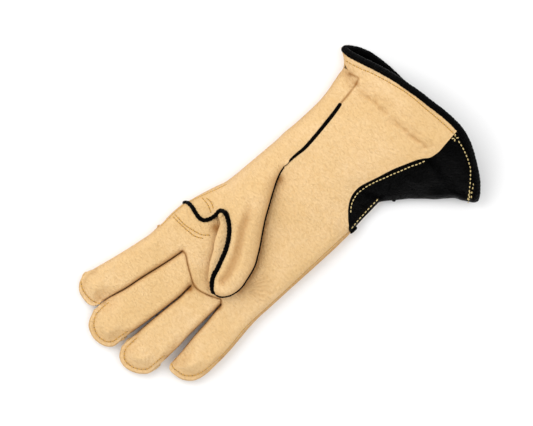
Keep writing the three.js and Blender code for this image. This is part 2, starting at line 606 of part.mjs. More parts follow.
// Everything under the thumb's own side seam, along its free length
function underThumb(lift) {
  const rings = [];
  for (let at = THUMB_FREE_ROW - UNDER_THUMB_LEAD; at < thumbEnd; at += UNDER_THUMB_STEP) {
    rings.push(at);
  }
  rings.push(thumbEnd, thumbEnd + 1);
  return ringSolid(rings.reverse().map((at) => {
    const { left, right, level } = thumbSection(Math.min(at, thumbEnd));
    const z = level + lift;
    const beyond = at > thumbEnd ? WELT_RADIUS * 3 : 0;
    const over = (p, q) => [
      p[0] + (p[0] - q[0]) * UNDER_THUMB_MARGIN,
      p[1] + (p[1] - q[1]) * UNDER_THUMB_MARGIN - beyond,
    ];
    const [l, r] = [over(left, right), over(right, left)];
    return [[...l, z], [...r, z], [...r, -HIGH], [...l, -HIGH]];
  }));
}

const thumbEdge = (at, side) => [...thumbSection(at)[side], thumbSection(at).level];
const weltPath = [
  ...crotchWelt.map(([x, y]) => [x, y, skinHeight(x, y) - WELT_SINK]),
  ...range(THUMB_FREE_ROW + 1, thumbEnd).map((at) => thumbEdge(at, "left")),
  ...range(THUMB_FREE_ROW, thumbEnd).reverse().map((at) => thumbEdge(at, "right")),
  ...thumbRoot.map(([x, y]) => [x, y, skinHeight(x, y) + WELT_SINK]),
  ...onPlan(WRIST_WELT).map(([x, y]) => [x, y, skinHeight(x, y) - WELT_SINK]),
];
const welt = bead(weltPath, WELT_RADIUS);
const weltRoom = bead(weltPath, WELT_RADIUS + SEAM_GAP);

const stripRooms = Object.values(FINGER_STRIPS).map((strip) => stripWedge(strip, SEAM_GAP));

// Where the welt turns over the edge of the hand it passes right through the leather
const weltNotch = slot(
  crotchWelt.slice(0, 3),
  2 * WELT_RADIUS,
  SEAM_LEVEL - WELT_RADIUS,
  SEAM_LEVEL + 4 * WELT_RADIUS,
);

function makePalm() {
  const skin = body.intersect(add(upper(), indexWrapCut));
  const edges = add(flangeTop(INDEX_FLANGE), flangeTop(LITTLE_FLANGE));
  return cutAway(add(skin, edges), sideCut, sideSlot, gussetTop, gussetSlot, knuckleCut, knuckleSlot,
    wrapSlot, ...wrapEnds, ...slitSlots, ...stripRooms, weltRoom, weltNotch, thumbRootGrown);
}

function makeFingerFront(outline, index) {
  const [left, right] = [slits[index], slits[index + 1]];
  const lane = prism([...left, ...[...right].reverse()], SEAM_LEVEL - SLOT_LAP, HIGH);
  const skin = body.intersect(upper()).intersect(knuckleCut);
  return cutAway(add(skin, flangeTop(outline)).intersect(lane), knuckleSlot, ...slitSlots, ...stripRooms);
}

function makeBack() {
  const skin = body.intersect(lower());
  const edges = add(...[INDEX_FLANGE, MIDDLE_FLANGE, RING_FLANGE, LITTLE_FLANGE].map(flangeBottom));
  const backSlits = slits.map((line) => slot(line.slice(2), SEAM_GAP, -HIGH, HIGH));
  return cutAway(add(skin, edges), indexWrapCut, sideWrapCut, wrapSlot, ...wrapEnds, gussetBottom,
    gussetBackSlot, ...backSlits, ...stripRooms);
}

function makeSidePanel() {
  const skin = outside.intersect(add(upper().intersect(sideCut), sideWrapCut));
  const thumb = thumbOut.subtract(underThumb(SEAM_GAP / 2));
  return cutAway(add(skin, thumb), hollow, thumbIn, sideSlot, wrapSlot, ...wrapEnds, weltRoom, weltNotch);
}

function makeThumbFront() {
  const wall = thumbOut.subtract(thumbIn).intersect(underThumb(-SEAM_GAP / 2));
  return cutAway(wall, bodyPillow(-SEAM_GAP), weltRoom);
}

function makeGusset() {
  const front = body.intersect(upper(SEAM_LEVEL - SEAM_LAP)).intersect(gussetTop);
  const back = body.intersect(lower(SEAM_LEVEL + SEAM_LAP)).intersect(gussetBottom);
  return cutAway(add(front, back), gussetSlot, gussetBackSlot);
}

const facingShell = bodyPillow(LEATHER_WALL + SEAM_GAP).subtract(bodyPillow(2 * LEATHER_WALL + SEAM_GAP));

function makeFacing(rim, low, high) {
  const [near, deep] = [RIM_COVER, RIM_COVER + FACING_DEPTH].map((way) => belowRim(rim, way, low, high));
  return facingShell.intersect(near.subtract(deep));
}

function makeBinding() {
  const half = BINDING_WIDTH / 2;
  const within = (line) => line.filter(([x, y]) => {
    const share = (x - CUFF_OFFSET * alongOf(y)) / (CUFF_WIDTH / 2);
    return share > RIM_CORNERS.left && share < RIM_CORNERS.right;
  });
  const middle = BINDING_THICKNESS / 2;
  const front = within(shiftLine(frontRim, half))
    .map(([x, y]) => [x, y, Math.max(SEAM_LEVEL, skinHeight(x, y) - LEATHER_WALL)]);
  const back = within(shiftLine(backRim, half))
    .map(([x, y]) => [x, y, Math.max(middle, SEAM_LEVEL - (skinHeight(x, y) - SEAM_LEVEL) / 3)]);
  const inner = bodyPillow(2 * (LEATHER_WALL + SEAM_GAP));
  const grown = (gaps) => bodyPillow(-SEAM_GAP * gaps).subtract(inner);
  const [layers, backLayers] = [grown(1), grown(BACK_LAYER_GAPS)];
  const room = RIM_COVER - SEAM_GAP;
  const bands = add(...[front, back].map((line) => band(line, BINDING_WIDTH, BINDING_THICKNESS)));
  return cutAway(bands, layers.intersect(belowRim(frontRim, room, SEAM_LEVEL - 2 * SEAM_GAP, HIGH)),
    backLayers.intersect(belowRim(backRim, room, -HIGH, SEAM_LEVEL + 2 * SEAM_GAP)));
}

// The end of the cuff's seam, left as a small tab on the little-finger edge
function makeTab() {
  const [x, y] = place(...TAB_PLACE);
  const { width, length, height } = TAB_SIZE;
  const box = new THREE.BoxGeometry(width, length, height).translate(x, y, SEAM_LEVEL);
  return toSolid(box).subtract(bodyPillow(-SEAM_GAP));
}

const LEATHER = new THREE.MeshStandardMaterial({ color: 0xedcb98, roughness: 0.62, metalness: 0 });
const TRIM = new THREE.MeshStandardMaterial({ color: 0x17171b, roughness: 0.5, metalness: 0 });

const pieces = {
  palm: [makePalm(), LEATHER],
  middle_front: [makeFingerFront(MIDDLE_FLANGE, 0), LEATHER],
  ring_front: [makeFingerFront(RING_FLANGE, 1), LEATHER],
  back: [makeBack(), LEATHER],
  side_panel: [makeSidePanel(), LEATHER],
  thumb_front: [makeThumbFront(), LEATHER],
  ...Object.fromEntries(Object.entries(FINGER_STRIPS).map(([name, strip]) => [
    name, [body.intersect(stripWedge(strip, 0)), LEATHER],
  ])),
  thumb_welt: [welt, TRIM],
  gusset: [makeGusset(), TRIM],
  gusset_tab: [makeTab(), TRIM],
  facing_front: [makeFacing(frontRim, seamTop, HIGH), TRIM],
  facing_back: [makeFacing(backRim, -HIGH, seamBottom), TRIM],
  cuff_binding: [makeBinding(), TRIM],
};

const glove = new THREE.Group();
for (const [name, [solid, material]] of Object.entries(pieces)) {
  const { vertProperties, triVerts } = solid.getMesh();
  const mesh = new THREE.Mesh(closedGeometry(vertProperties, Array.from(triVerts)), material.clone());
  mesh.geometry.computeVertexNormals();
  mesh.name = name;
  glove.add(mesh);
}

// The glove rests on its back, with the middle of its outline over the origin
const bounds = new THREE.Box3().setFromObject(glove);
const centre = bounds.getCenter(new THREE.Vector3());
glove.position.set(-centre.x, -centre.y, -bounds.min.z);
const scene = new THREE.Group();
scene.add(glove);

export default scene;
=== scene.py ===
import math

import bmesh
import bpy
import numpy as np
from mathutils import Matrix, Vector


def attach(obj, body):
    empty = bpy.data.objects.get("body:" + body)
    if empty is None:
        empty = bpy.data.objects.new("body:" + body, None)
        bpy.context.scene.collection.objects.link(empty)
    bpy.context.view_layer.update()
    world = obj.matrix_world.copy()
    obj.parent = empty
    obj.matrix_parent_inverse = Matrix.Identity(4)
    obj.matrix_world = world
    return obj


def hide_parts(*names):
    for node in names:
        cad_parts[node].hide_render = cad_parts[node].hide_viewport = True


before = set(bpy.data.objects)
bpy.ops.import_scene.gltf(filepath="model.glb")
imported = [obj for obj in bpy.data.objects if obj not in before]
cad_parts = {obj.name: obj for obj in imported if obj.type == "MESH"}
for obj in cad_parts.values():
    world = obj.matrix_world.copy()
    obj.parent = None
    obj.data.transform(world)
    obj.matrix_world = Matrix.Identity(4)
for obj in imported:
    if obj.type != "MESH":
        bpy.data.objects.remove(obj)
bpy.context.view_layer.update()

MM = 0.001

# Sizes of the glove, in millimetres
LEATHER = 1.2
SEAM_LEVEL = 7.0
SLIT_ROUND = 5.0
EDGE_ROUND = 8.0
LOWER_ROUND = 7.0
EDGE_LIP = 0.15
LITTLE_LIP = 1.6
RISE_POWER = 0.65
FLANGE = 2.8
FLANGE_HEIGHT = 1.5
RAW_EDGE = 0.9
THUMB_HEIGHT = 13.0
THUMB_RIM = 6.2
THUMB_ROUND = 6.0
UNDERLAP = 2.0
CUFF_HOLLOW = 2.5
GUSSET_ROUND = 4.0
GUSSET_DROP = 0.6
FACING_DROP = 1.8
BACK_FACING_LIFT = 2.6
WELT_RADIUS = 1.7
WELT_LIFT = 3.4
WELT_SWELL = 0.22
FAR_WELT_RADIUS = 1.1
TAB_HALF = (1.5, 1.3)
BAND_HALF = 0.9
BINDING_WIDTH = 5.6
BINDING_THICKNESS = 4.6
STITCH_LENGTH = 2.3
STITCH_PITCH = 3.1
THREAD = 0.5
HOLE = 0.5

# Places on the glove as [x, y] in millimetres: x from the thumb side to the little-finger side,
# y from the fingertips to the cuff
OUTER_EDGE = [
    (-81, -127), (-80, -122), (-77.5, -110), (-75, -97), (-73, -85), (-71.5, -75), (-71.5, -60),
    (-72.3, -52), (-72, -38), (-70.5, -34), (-68.5, -25), (-66, -15), (-64, -8), (-62, -1), (-61, 10),
    (-60.5, 25), (-60, 40), (-59.7, 50), (-60, 60), (-59.5, 70), (-59.5, 85), (-60, 97), (-61.5, 107),
    (-63.5, 115), (-65.5, 123), (-67, 129), (-72, 134), (-80, 138.5), (-86, 143), (-94, 149),
]
LITTLE_EDGE = [
    (41, -100), (40, -88), (38.5, -77), (37, -67), (36, -55), (36, -45), (35.9, -20), (35.8, 20),
    (35.4, 35), (34.5, 45),
]
# Each finger's outline, from its root on the thumb side, round the tip, to its root on the other side
INDEX_OUTLINE = [(-71.6, -66)] + OUTER_EDGE[5::-1] + [
    (-82.5, -131), (-82, -137), (-79.5, -142), (-75, -146), (-70, -147.5), (-64, -148), (-60, -146.5),
    (-57.6, -143.5), (-57.1, -139), (-56, -133), (-54, -125), (-52, -116), (-50, -102), (-47.5, -88),
    (-45.5, -76), (-44, -65),
]
MIDDLE_OUTLINE = [
    (-44, -65), (-45.5, -76), (-47.5, -88), (-50, -102), (-52, -116), (-54, -125), (-55.7, -133),
    (-56.4, -139), (-56, -145), (-55, -150), (-52, -156), (-48, -160), (-40, -162.5), (-33, -161.5),
    (-28, -159), (-25, -155), (-24.5, -150), (-24, -145), (-23, -138), (-21.2, -122), (-20.2, -110),
    (-19.4, -100), (-18.8, -90), (-18.9, -84), (-19, -78),
]
RING_OUTLINE = [
    (-19, -78), (-18.6, -84), (-18.2, -90), (-18.8, -100), (-19.3, -110), (-19.9, -125), (-20, -136),
    (-20, -142), (-19.5, -150), (-18, -153), (-15, -157), (-11, -159), (-7, -159.5), (-2, -158.5),
    (3, -156), (7, -152.5), (10, -148), (10.6, -140), (10.9, -132), (10.4, -118), (9.4, -105), (8.8, -90),
    (8.2, -78), (8, -70),
]
LITTLE_OUTLINE = [
    (8, -70), (9.5, -80), (11, -90), (12, -100), (13.5, -110), (15.2, -120), (16.0, -129), (16.8, -132.7),
    (20, -135), (25, -134.5), (30, -133), (34, -130.5), (38, -126), (40, -120), (41, -112),
] + LITTLE_EDGE[:4]
# The two long edges, led on a little round the tips they end at
OUTER_RUN = [(-82, -137), (-82.5, -131)] + OUTER_EDGE
LITTLE_RUN = [(40, -120), (41, -112)] + LITTLE_EDGE
INDEX_ROOT = [(-71.6, -66), (-44, -65)]
LITTLE_ROOT = [(8, -70), (37, -67)]
UNDER_SIDE = [
    (-71.8, -37.4), (-67, -33), (-60, -26), (-55, -14), (-52, 10), (-51, 40), (-51, 80), (-53, 105),
    (-56, 120), (-61, 128.5), (-69, 132.2),
]
THUMB_ROOT = [(-48, -21), (-47, -5), (-44, 18), (-40, 41)]
KNUCKLE_SEAM = [
    (-44, -63.8), (-40, -64), (-33, -68), (-25, -72), (-19, -75), (-15, -75.5), (-10, -74.5), (-3, -71.5),
    (2, -68.5), (5, -67), (8, -70),
]
FRONT_RIM = [
    (-80, 138.5), (-75, 139.3), (-70, 140.0), (-65, 141.8), (-60, 143.5), (-50, 147.2), (-40, 150.3),
    (-30, 153), (-20, 155), (-10, 157.2), (0, 158.7), (10, 160.6), (20, 161.8), (30, 162.2),
]
GUSSET_RIM = [
    (30, 162.2), (35, 161.6), (40, 160.6), (45, 159.2), (50, 157.2), (55, 155), (60, 152.6), (65, 150),
    (70, 147.2), (75, 143.4), (80, 138.8), (82.5, 135),
]
BACK_RIM = [
    (-80, 139), (-75, 143.5), (-70, 147), (-65, 149.6), (-60, 151.6), (-50, 153.8), (-40, 155.2),
    (-30, 155.9), (-20, 156.6), (-10, 157), (0, 157.5), (10, 158), (20, 158), (30, 157.5), (45, 155),
    (60, 149), (72, 142), (80, 136), (82.5, 134),
]
GUSSET_SEAM = [
    (34.5, 45), (30, 47.5), (25, 51), (20, 55.5), (17, 59), (14, 63.5), (12.5, 68), (12, 73), (12.5, 77),
    (14, 83), (16, 90), (18, 98), (20, 105), (23, 113), (26, 121), (29, 126.5), (32, 131), (33, 138),
    (32.5, 143), (31.5, 150), (30, 162.2),
]
GUSSET_FOLD = [
    (37, 86), (41.5, 92), (45.5, 97.5), (50, 102.5), (55, 108), (60, 113), (65, 119.5), (70, 125.5),
    (75, 128.5), (82.5, 134),
]
GUSSET_BACK = [
    (34.5, 45), (34, 50), (33.5, 55), (33, 60), (32.5, 68), (32, 75), (31.5, 84), (31, 110), (30.5, 157.5),
]
CROTCH_WELT = [
    (-71.8, -37.4), (-69.5, -35.2), (-65, -34.8), (-60, -35.7), (-55, -36.3), (-51, -35), (-48.5, -31),
    (-47.5, -26), (-48, -21),
]
THUMB_NEAR = [
    (-48, -21), (-46, -18.7), (-43, -18.3), (-40, -19), (-35, -21.8), (-30, -26), (-25, -32), (-21, -38.5),
    (-18, -45), (-15, -52), (-12.5, -59), (-9, -63.5), (-5, -66.6), (-2, -67.2),
]
THUMB_FAR = [
    (-2, -67.2), (2, -66), (5, -63), (7.5, -58), (8.5, -52), (8.3, -47), (7, -42), (5, -35), (2.5, -28.5),
    (-1, -23), (-5, -17), (-10, -10.5), (-15, -4), (-20, 3), (-25, 11), (-30, 19), (-35, 27.5),
    (-38.5, 35), (-40, 41),
]
WRIST_SEAM = [
    (-40, 41), (-40.3, 48), (-40.2, 55), (-39.8, 62), (-40.5, 70), (-41.5, 78), (-43, 88), (-44.5, 97),
    (-46, 104), (-47, 108), (-48, 116), (-49.5, 124), (-51, 129),
]
THUMB_ROLL = [
    (-47.5, -23), (-43.5, -25), (-40, -27), (-37, -32), (-33, -39), (-28, -45), (-23, -53), (-18, -59),
    (-13.5, -63.5), (-6, -67),
]
THUMB_RIDGE = [
    (-44, 36), (-41, 26), (-37, 16), (-32, 8), (-26, -1), (-18, -12), (-11, -22), (-6, -33), (-2, -44),
    (0, -52),
]
THUMB_CREASE = [
    (-40, 2), (-34, -4), (-29, -10), (-25, -17), (-19, -25), (-13, -34), (-9, -42), (-6, -50), (-5, -56),
]
WRIST_TURN = WRIST_SEAM[9:] + [(-53, 131.5), (-60, 129)]
FACING_CREASE = [
    (-51, 127.5), (-40, 127), (-28, 128.5), (-16, 128.5), (-4, 130.5), (8, 131), (18, 133), (29, 134),
]
GUSSET_CREASE = [(31, 129), (40, 129.5), (48, 128), (56, 129.5), (64, 129), (74, 132)]
HOLLOW_LINE = [(11, -50), (4, -31), (-8, -15), (-18, -2), (-28, 14), (-35, 27)]
THUMB_SHADE = [
    (10, -52), (9.5, -45), (7, -36), (4, -29), (0, -22.5), (-8, -11), (-14, -3), (-23, 9), (-29, 19),
    (-36, 32),
]
TIP_CENTRES = ((-68, -134), (-40, -146), (-4, -144), (29, -119))
# Spots of painted shade, darker where shade falls in folds and hollows: place, width, how much longer
# across than along, how deep
PAINTED_SHADE_SPOTS = [((-17.5, -80), 2.4, 1, 0.9), ((9, -72.5), 2.0, 1, 0.75), ((-60, 128), 4.0, 1.4, 0.5)]
PALM_PAINTED_SHADE_SPOTS = [((-34, 32), 4.0, 1, 0.45), ((-40.5, -32), 4.0, 1, 0.8)]


# Curves on the plan

STEPS = 24
WAVES = 7
TINY = 1e-9
ALMOST_ONE = 0.9999


def spline(a, b, c, d, f):
    """Catmull-Rom value at the share f of the way from b to c, where a comes before them and d after."""
    return b + 0.5 * f * (c - a + f * (2 * a - 5 * b + 4 * c - d + f * (3 * (b - c) + d - a)))


def curve(points):
    """A Catmull-Rom curve through the points, in short steps from each point to the next."""
    p = np.asarray(points, float)
    ends = np.vstack([2 * p[0] - p[1], p, 2 * p[-1] - p[-2]])
    t = np.linspace(0, len(p) - 1, STEPS * (len(p) - 1) + 1)
    k = np.minimum(t.astype(int), len(p) - 2)
    return spline(ends[k], ends[k + 1], ends[k + 2], ends[k + 3], (t - k)[:, None])


def stretch(points, first, last):
    """The part of the curve through the points that runs between two of them."""
    return curve(points)[STEPS * points.index(first):STEPS * points.index(last) + 1]


def lengths(points):
    """Length of a line up to each of its points."""
    return np.concatenate([[0], np.cumsum(np.linalg.norm(np.diff(points, axis=0), axis=1))])


def shares(points):
    """Share of the length of a line at each of its points."""
    run = lengths(points)
    return run / run[-1]


def read(line, places):
    """Points at the given shares of a line's length. The line is a list of points that a curve runs
    through, or a curve already worked out."""
    fine = line if isinstance(line, np.ndarray) else curve(line)
    at = shares(fine)
    return np.column_stack([np.interp(places, at, column) for column in fine.T])


def even(line, count):
    """A line as count points, evenly spaced by length."""
    return read(line, np.linspace(0, 1, count))


def distance(x, y, line, count=60):
    """Distance in plan from each (x, y) to a line: the least distance to its short straight steps,
    which are one less than count."""
    p = even(line, count)
    shape = np.shape(x)
    q = np.column_stack([np.ravel(x), np.ravel(y)])
    best = np.full(len(q), 1e9)
    for a, b in zip(p[:-1], p[1:]):
        step = b - a
        t = np.clip(((q - a) @ step) / (step @ step + TINY), 0, 1)
        best = np.minimum(best, np.linalg.norm(q - a - t[:, None] * step, axis=1))
    return best.reshape(shape)


def nearest(x, y, lines):
    """Distance in plan from each (x, y) to the nearest of several lines."""
    return np.minimum.reduce([distance(x, y, line) for line in lines])


def ramp(value, low, high):
    """Smooth rise from 0 at low to 1 at high."""
    t = np.clip((value - low) / (high - low), 0, 1)
    return t * t * (3 - 2 * t)


def quarter(d, radius):
    """Height of a quarter circle at distance d from its foot, 1 beyond its radius."""
    t = np.clip(d / radius, 0, 1)
    return np.sqrt(1 - (1 - t) ** 2)


def dent(d, width):
    """A bell-shaped groove: 1 on the line, falling off over the width."""
    return np.exp(-(d / width) ** 2)


def spot(x, y, place, width, longer=1):
    """A bell-shaped spot round a place, longer across than along by a factor."""
    return dent(np.hypot((x - place[0]) / longer, y - place[1]), width)


def unit(vectors):
    """The same directions with length 1."""
    return vectors / np.linalg.norm(vectors, axis=-1, keepdims=True)


# Heights of the upper skin before its edges turn down: each row lies at one y and has seven heights,
# evenly spaced from the left to the right
NET_Y = [-170, -66, -45, -20, 0, 25, 46, 60, 73, 84, 100, 115, 129, 140, 155, 170]
NET_LEFT = [
    -72.2, -72.2, -71.9, -67.5, -62, -60.7, -60, -59.9, -59.7, -59.6, -60.3, -63.5, -66.5, -80, -93, -101,
]
NET_RIGHT = [34.4, 34.4, 33.8, 33.6, 33.6, 33.5, 33.3, 33, 33, 38, 47.5, 62, 76, 86, 96, 104]
NET_HEIGHT = [
    [16.5, 16.5, 16.5, 16.5, 16.5, 16.5, 16.5],
    [17.0, 17.5, 17.5, 17.0, 17.0, 17.0, 16.5],
    [17.0, 18.5, 19.0, 18.5, 18.5, 18.0, 17.0],
    [17.0, 20.0, 21.0, 20.5, 20.5, 19.5, 17.0],
    [17.0, 21.5, 23.0, 22.5, 22.5, 20.5, 17.5],
    [17.5, 22.0, 24.0, 24.0, 23.5, 21.0, 17.5],
    [17.5, 21.5, 23.5, 24.0, 23.0, 20.0, 15.0],
    [16.5, 21.5, 23.5, 24.5, 23.5, 19.0, 9.0],
    [16.0, 22.0, 25.0, 26.0, 25.0, 18.0, 9.0],
    [16.0, 22.0, 26.0, 27.0, 26.0, 19.0, 11.0],
    [16.0, 22.0, 27.0, 29.0, 28.0, 22.0, 12.0],
    [15.0, 21.0, 28.0, 31.0, 31.0, 24.0, 14.0],
    [14.0, 20.0, 29.0, 34.0, 35.0, 26.0, 14.0],
    [12.0, 22.0, 33.0, 40.0, 41.0, 29.0, 14.0],
    [12.0, 22.0, 36.0, 43.5, 44.5, 29.5, 14.0],
    [12.0, 22.0, 37.0, 45.0, 46.0, 30.0, 14.0],
]


def cubic(table, rows, at):
    """Smooth reading of a table at given places, where rows are the places of its entries."""
    rows = np.asarray(rows, float)
    k = np.clip(np.searchsorted(rows, at) - 1, 0, len(rows) - 2)
    f = np.clip((at - rows[k]) / (rows[k + 1] - rows[k]), 0, 1)
    pad = np.concatenate([table[:1], table, table[-1:]])
    if table.ndim > 1:
        f = f[:, None]
    return spline(pad[k], pad[k + 1], pad[k + 2], pad[k + 3], f)


def mound(x, y):
    """Broad height of the upper skin at each place: a net of heights read smoothly both ways."""
    shape = np.shape(x)
    x, y = np.ravel(x).astype(float), np.ravel(y).astype(float)
    left = cubic(np.array(NET_LEFT, float), NET_Y, y)
    right = cubic(np.array(NET_RIGHT, float), NET_Y, y)
    rows = cubic(np.array(NET_HEIGHT, float), NET_Y, y)
    t = np.clip((x - left) / (right - left), 0, ALMOST_ONE) * (rows.shape[1] - 1)
    k = t.astype(int)
    f = t - k
    pick = np.arange(len(x))
    pad = np.column_stack([rows[:, :1], rows, rows[:, -1:]])
    return spline(*(pad[pick, k + i] for i in range(4)), f).reshape(shape)


def waves(x, y, size, seed):
    """Slow uneven ripples, about -1 to 1: crossed sine waves with fixed random directions."""
    rng = np.random.default_rng(seed)
    total = np.zeros(np.shape(x))
    for _ in range(WAVES):
        angle = rng.uniform(0, 2 * np.pi)
        scale = size * rng.uniform(0.6, 1.7)
        along = x * np.cos(angle) + y * np.sin(angle)
        total = total + np.sin(along * 2 * np.pi / scale + rng.uniform(0, 6.28))
    return total / (WAVES / 2)


# The four rounded fingertips, and both sides of the three gaps between the fingers
TIPS = [stretch(outline, first, last) for outline, first, last in (
    (INDEX_OUTLINE, (-81, -127), (-57.1, -139)), (MIDDLE_OUTLINE, (-56.4, -139), (-23, -138)),
    (RING_OUTLINE, (-20, -136), (10.9, -132)), (LITTLE_OUTLINE, (16.0, -129), (41, -100)))]
SLITS = [stretch(outline, first, last) for outline, first, last in (
    (INDEX_OUTLINE, (-57.1, -139), (-44, -65)), (MIDDLE_OUTLINE, (-44, -65), (-56.4, -139)),
    (MIDDLE_OUTLINE, (-23, -138), (-19, -78)), (RING_OUTLINE, (-19, -78), (-20, -136)),
    (RING_OUTLINE, (10.9, -132), (8, -70)), (LITTLE_OUTLINE, (8, -70), (16.0, -129)))]

# Each finger's outline, and the distances from y = 0 at which its soft tip starts and is whole
FINGERS = ((INDEX_OUTLINE, 120, 140), (MIDDLE_OUTLINE, 134, 152), (RING_OUTLINE, 130, 149),
           (LITTLE_OUTLINE, 102, 124))


def finger_rise(x, y, finger, radius):
    """Rise of a skin from a finger's outline: a steep round along the sides, which turns into a flat
    flange and a soft slope towards the tip."""
    outline, start, end = finger
    d = distance(x, y, outline, 110)
    steep = quarter(d - EDGE_LIP, SLIT_ROUND) ** RISE_POWER
    return steep + (ramp(d - FLANGE, -0.6, radius) - steep) * ramp(-y, start, end)


def rounding(x, y, outer, tip_radius, little):
    """How far a skin has risen from its edge to its full height: the least of the quarter rounds at the
    outer edge and the little-finger edge, with their radii, and of the rises at the four fingers."""
    parts = [quarter(distance(x, y, OUTER_RUN, 160) - EDGE_LIP, outer),
             quarter(distance(x, y, LITTLE_RUN, 80) - LITTLE_LIP, little)]
    parts += [finger_rise(x, y, finger, tip_radius) for finger in FINGERS]
    return np.minimum.reduce(parts)


def seam_step(x, y):
    """How far a skin's edge stands off the seam level: raised where an edge is stitched, level where
    it folds."""
    near = nearest(x, y, TIPS + SLITS + [LITTLE_EDGE])
    return FLANGE_HEIGHT * (1 - ramp(near, 3, 9))


def upper_skin(x, y):
    """Height of the palm-side leather: the mound, turned down in quarter rounds at every outer edge and
    slit, with flat stitched flanges at the fingertips, and the creases that the photograph shows."""
    soft = rounding(x, y, EDGE_ROUND, 9.0, 6.5)
    edge = SEAM_LEVEL + seam_step(x, y)
    z = edge + (mound(x, y) - edge) * soft
    z = z + (0.5 * waves(x, y, 46, 3) + 0.14 * waves(x, y, 15, 4)) * soft
    z = z - 1.3 * dent(distance(x, y, KNUCKLE_SEAM), 1.0) * soft
    return z - creases(x, y) * soft


def rays(x, y, centre, reach, spokes, wobble=0.0):
    """Fine folds that leave a centre like spokes, fading in and out at four distances from it, and the
    angle of each place round the centre."""
    away = np.hypot(x - centre[0], y - centre[1])
    angle = np.arctan2(y - centre[1], x - centre[0])
    ring = ramp(away, *reach[:2]) * (1 - ramp(away, *reach[2:]))
    return ring * (0.5 + 0.5 * np.sin(angle * spokes + wobble)), angle


def creases(x, y):
    """Depth of the folds of the palm-side leather, in millimetres: a groove and ripples where the front
    facing ends, the turn of the wrist seam, a hollow beside the thumb, a fan of fine folds at its tip,
    short folds below the gusset and a pucker at the middle slit."""
    fold = distance(x, y, FACING_CREASE)
    uneven = 0.8 + 0.3 * waves(x, y, 18, 12)
    depth = 1.5 * dent(fold, 1.4) * uneven + 0.7 * dent(fold, 8) * waves(x, y, 8, 5)
    depth = depth + 1.1 * dent(distance(x, y, WRIST_TURN), 1.0)
    depth = depth + 0.9 * dent(distance(x, y, HOLLOW_LINE), 6.5)
    fan, angle = rays(x, y, (10, -48), (2, 8, 14, 30), 30, 1.5 * waves(x, y, 12, 6))
    depth = depth + 0.9 * fan * ramp(angle, -0.1, 0.3) * (1 - ramp(angle, 1.2, 1.6))
    star, angle = rays(x, y, (31, 44), (1, 4, 8, 20), 18)
    depth = depth + 0.35 * star * (angle < 0)
    return depth + 1.4 * spot(x, y, (-18, -76), 4.5)


def thumb_lift(x, y):
    """How far the thumb's leather stands above the palm: a padded tube that grows out of the wrist,
    rounded down to half its height along its free edges."""
    far = distance(x, y, THUMB_FAR)
    free = np.minimum(distance(x, y, THUMB_NEAR[2:]), far * 1.5)
    down = 1 - ramp(y, 5, 55)
    rim = THUMB_RIM * (1 - ramp(y, -5, 42))
    foot = np.interp(y, [-40, -30, -20, -5, 20, 60], [-46, -50, -56, -60.5, -62, -62])
    root = ramp(x - foot, 0, 17)
    lift = rim + (THUMB_HEIGHT * down - rim) * quarter(free, THUMB_ROUND)
    crease = 3.0 * dent(distance(x, y, THUMB_CREASE), 3.4) * ramp(free, 1.5, 6) * ramp(x, -42, -28)
    crest = 1.3 * dent(distance(x, y, THUMB_RIDGE), 4.5) * ramp(free, 0, 5)
    return (lift - crease + crest) * root


def spots(x, y, table):
    """The sum of a table's spots, each as deep as the table says."""
    return sum(deep * spot(x, y, place, width, longer) for place, width, longer, deep in table)


def painted_shade(x, y):
    """Painted shade in the leather's colour: darker along its edges and slits, in its seams and folds,
    where shade falls.
    """
    slit = nearest(x, y, SLITS)
    edge = np.minimum(nearest(x, y, [OUTER_EDGE, LITTLE_EDGE]), slit)
    tip_row = nearest(x, y, TIPS) - 3.0
    deep = 0.26 * dent(edge, 2.6) + 0.22 * dent(tip_row, 1.4) + 0.6 * dent(slit, 0.8)
    deep = deep + 0.9 * dent(distance(x, y, KNUCKLE_SEAM), 0.7)
    deep = deep + 0.55 * dent(distance(x, y, WRIST_TURN), 0.7)
    return deep + spots(x, y, PAINTED_SHADE_SPOTS) + 0.26 * np.clip(creases(x, y), 0, 2)


def palm_painted_shade(x, y):
    """The palm's painted shade, with the painted shadow that the thumb leaves along both its sides."""
    deep = 0.5 * dent(distance(x, y, THUMB_SHADE), 2.4) + 0.4 * dent(distance(x, y, THUMB_ROLL), 3.6)
    return painted_shade(x, y) + deep + spots(x, y, PALM_PAINTED_SHADE_SPOTS)


def side_painted_shade(x, y):
    """The side leather's painted shade: in the thumb's valley and near its far edge."""
    valley = 0.5 * dent(distance(x, y, THUMB_CREASE), 3.0) * ramp(x, -40, -26)
    return painted_shade(x, y) + valley + 0.2 * dent(distance(x, y, THUMB_FAR), 1.4)


def lower_skin(x, y):
    """Height of the back leather's lower face: flat on the table, rounded up at the outline."""
    soft = rounding(x, y, LOWER_ROUND, 8.0, 6.0)
    return (SEAM_LEVEL - 0.8 * seam_step(x, y)) * (1 - soft)


# Meshes

def place_object(name, data):
    """A new object with the given data, in the scene."""
    made = bpy.data.objects.new(name, data)
    bpy.context.scene.collection.objects.link(made)
    return made


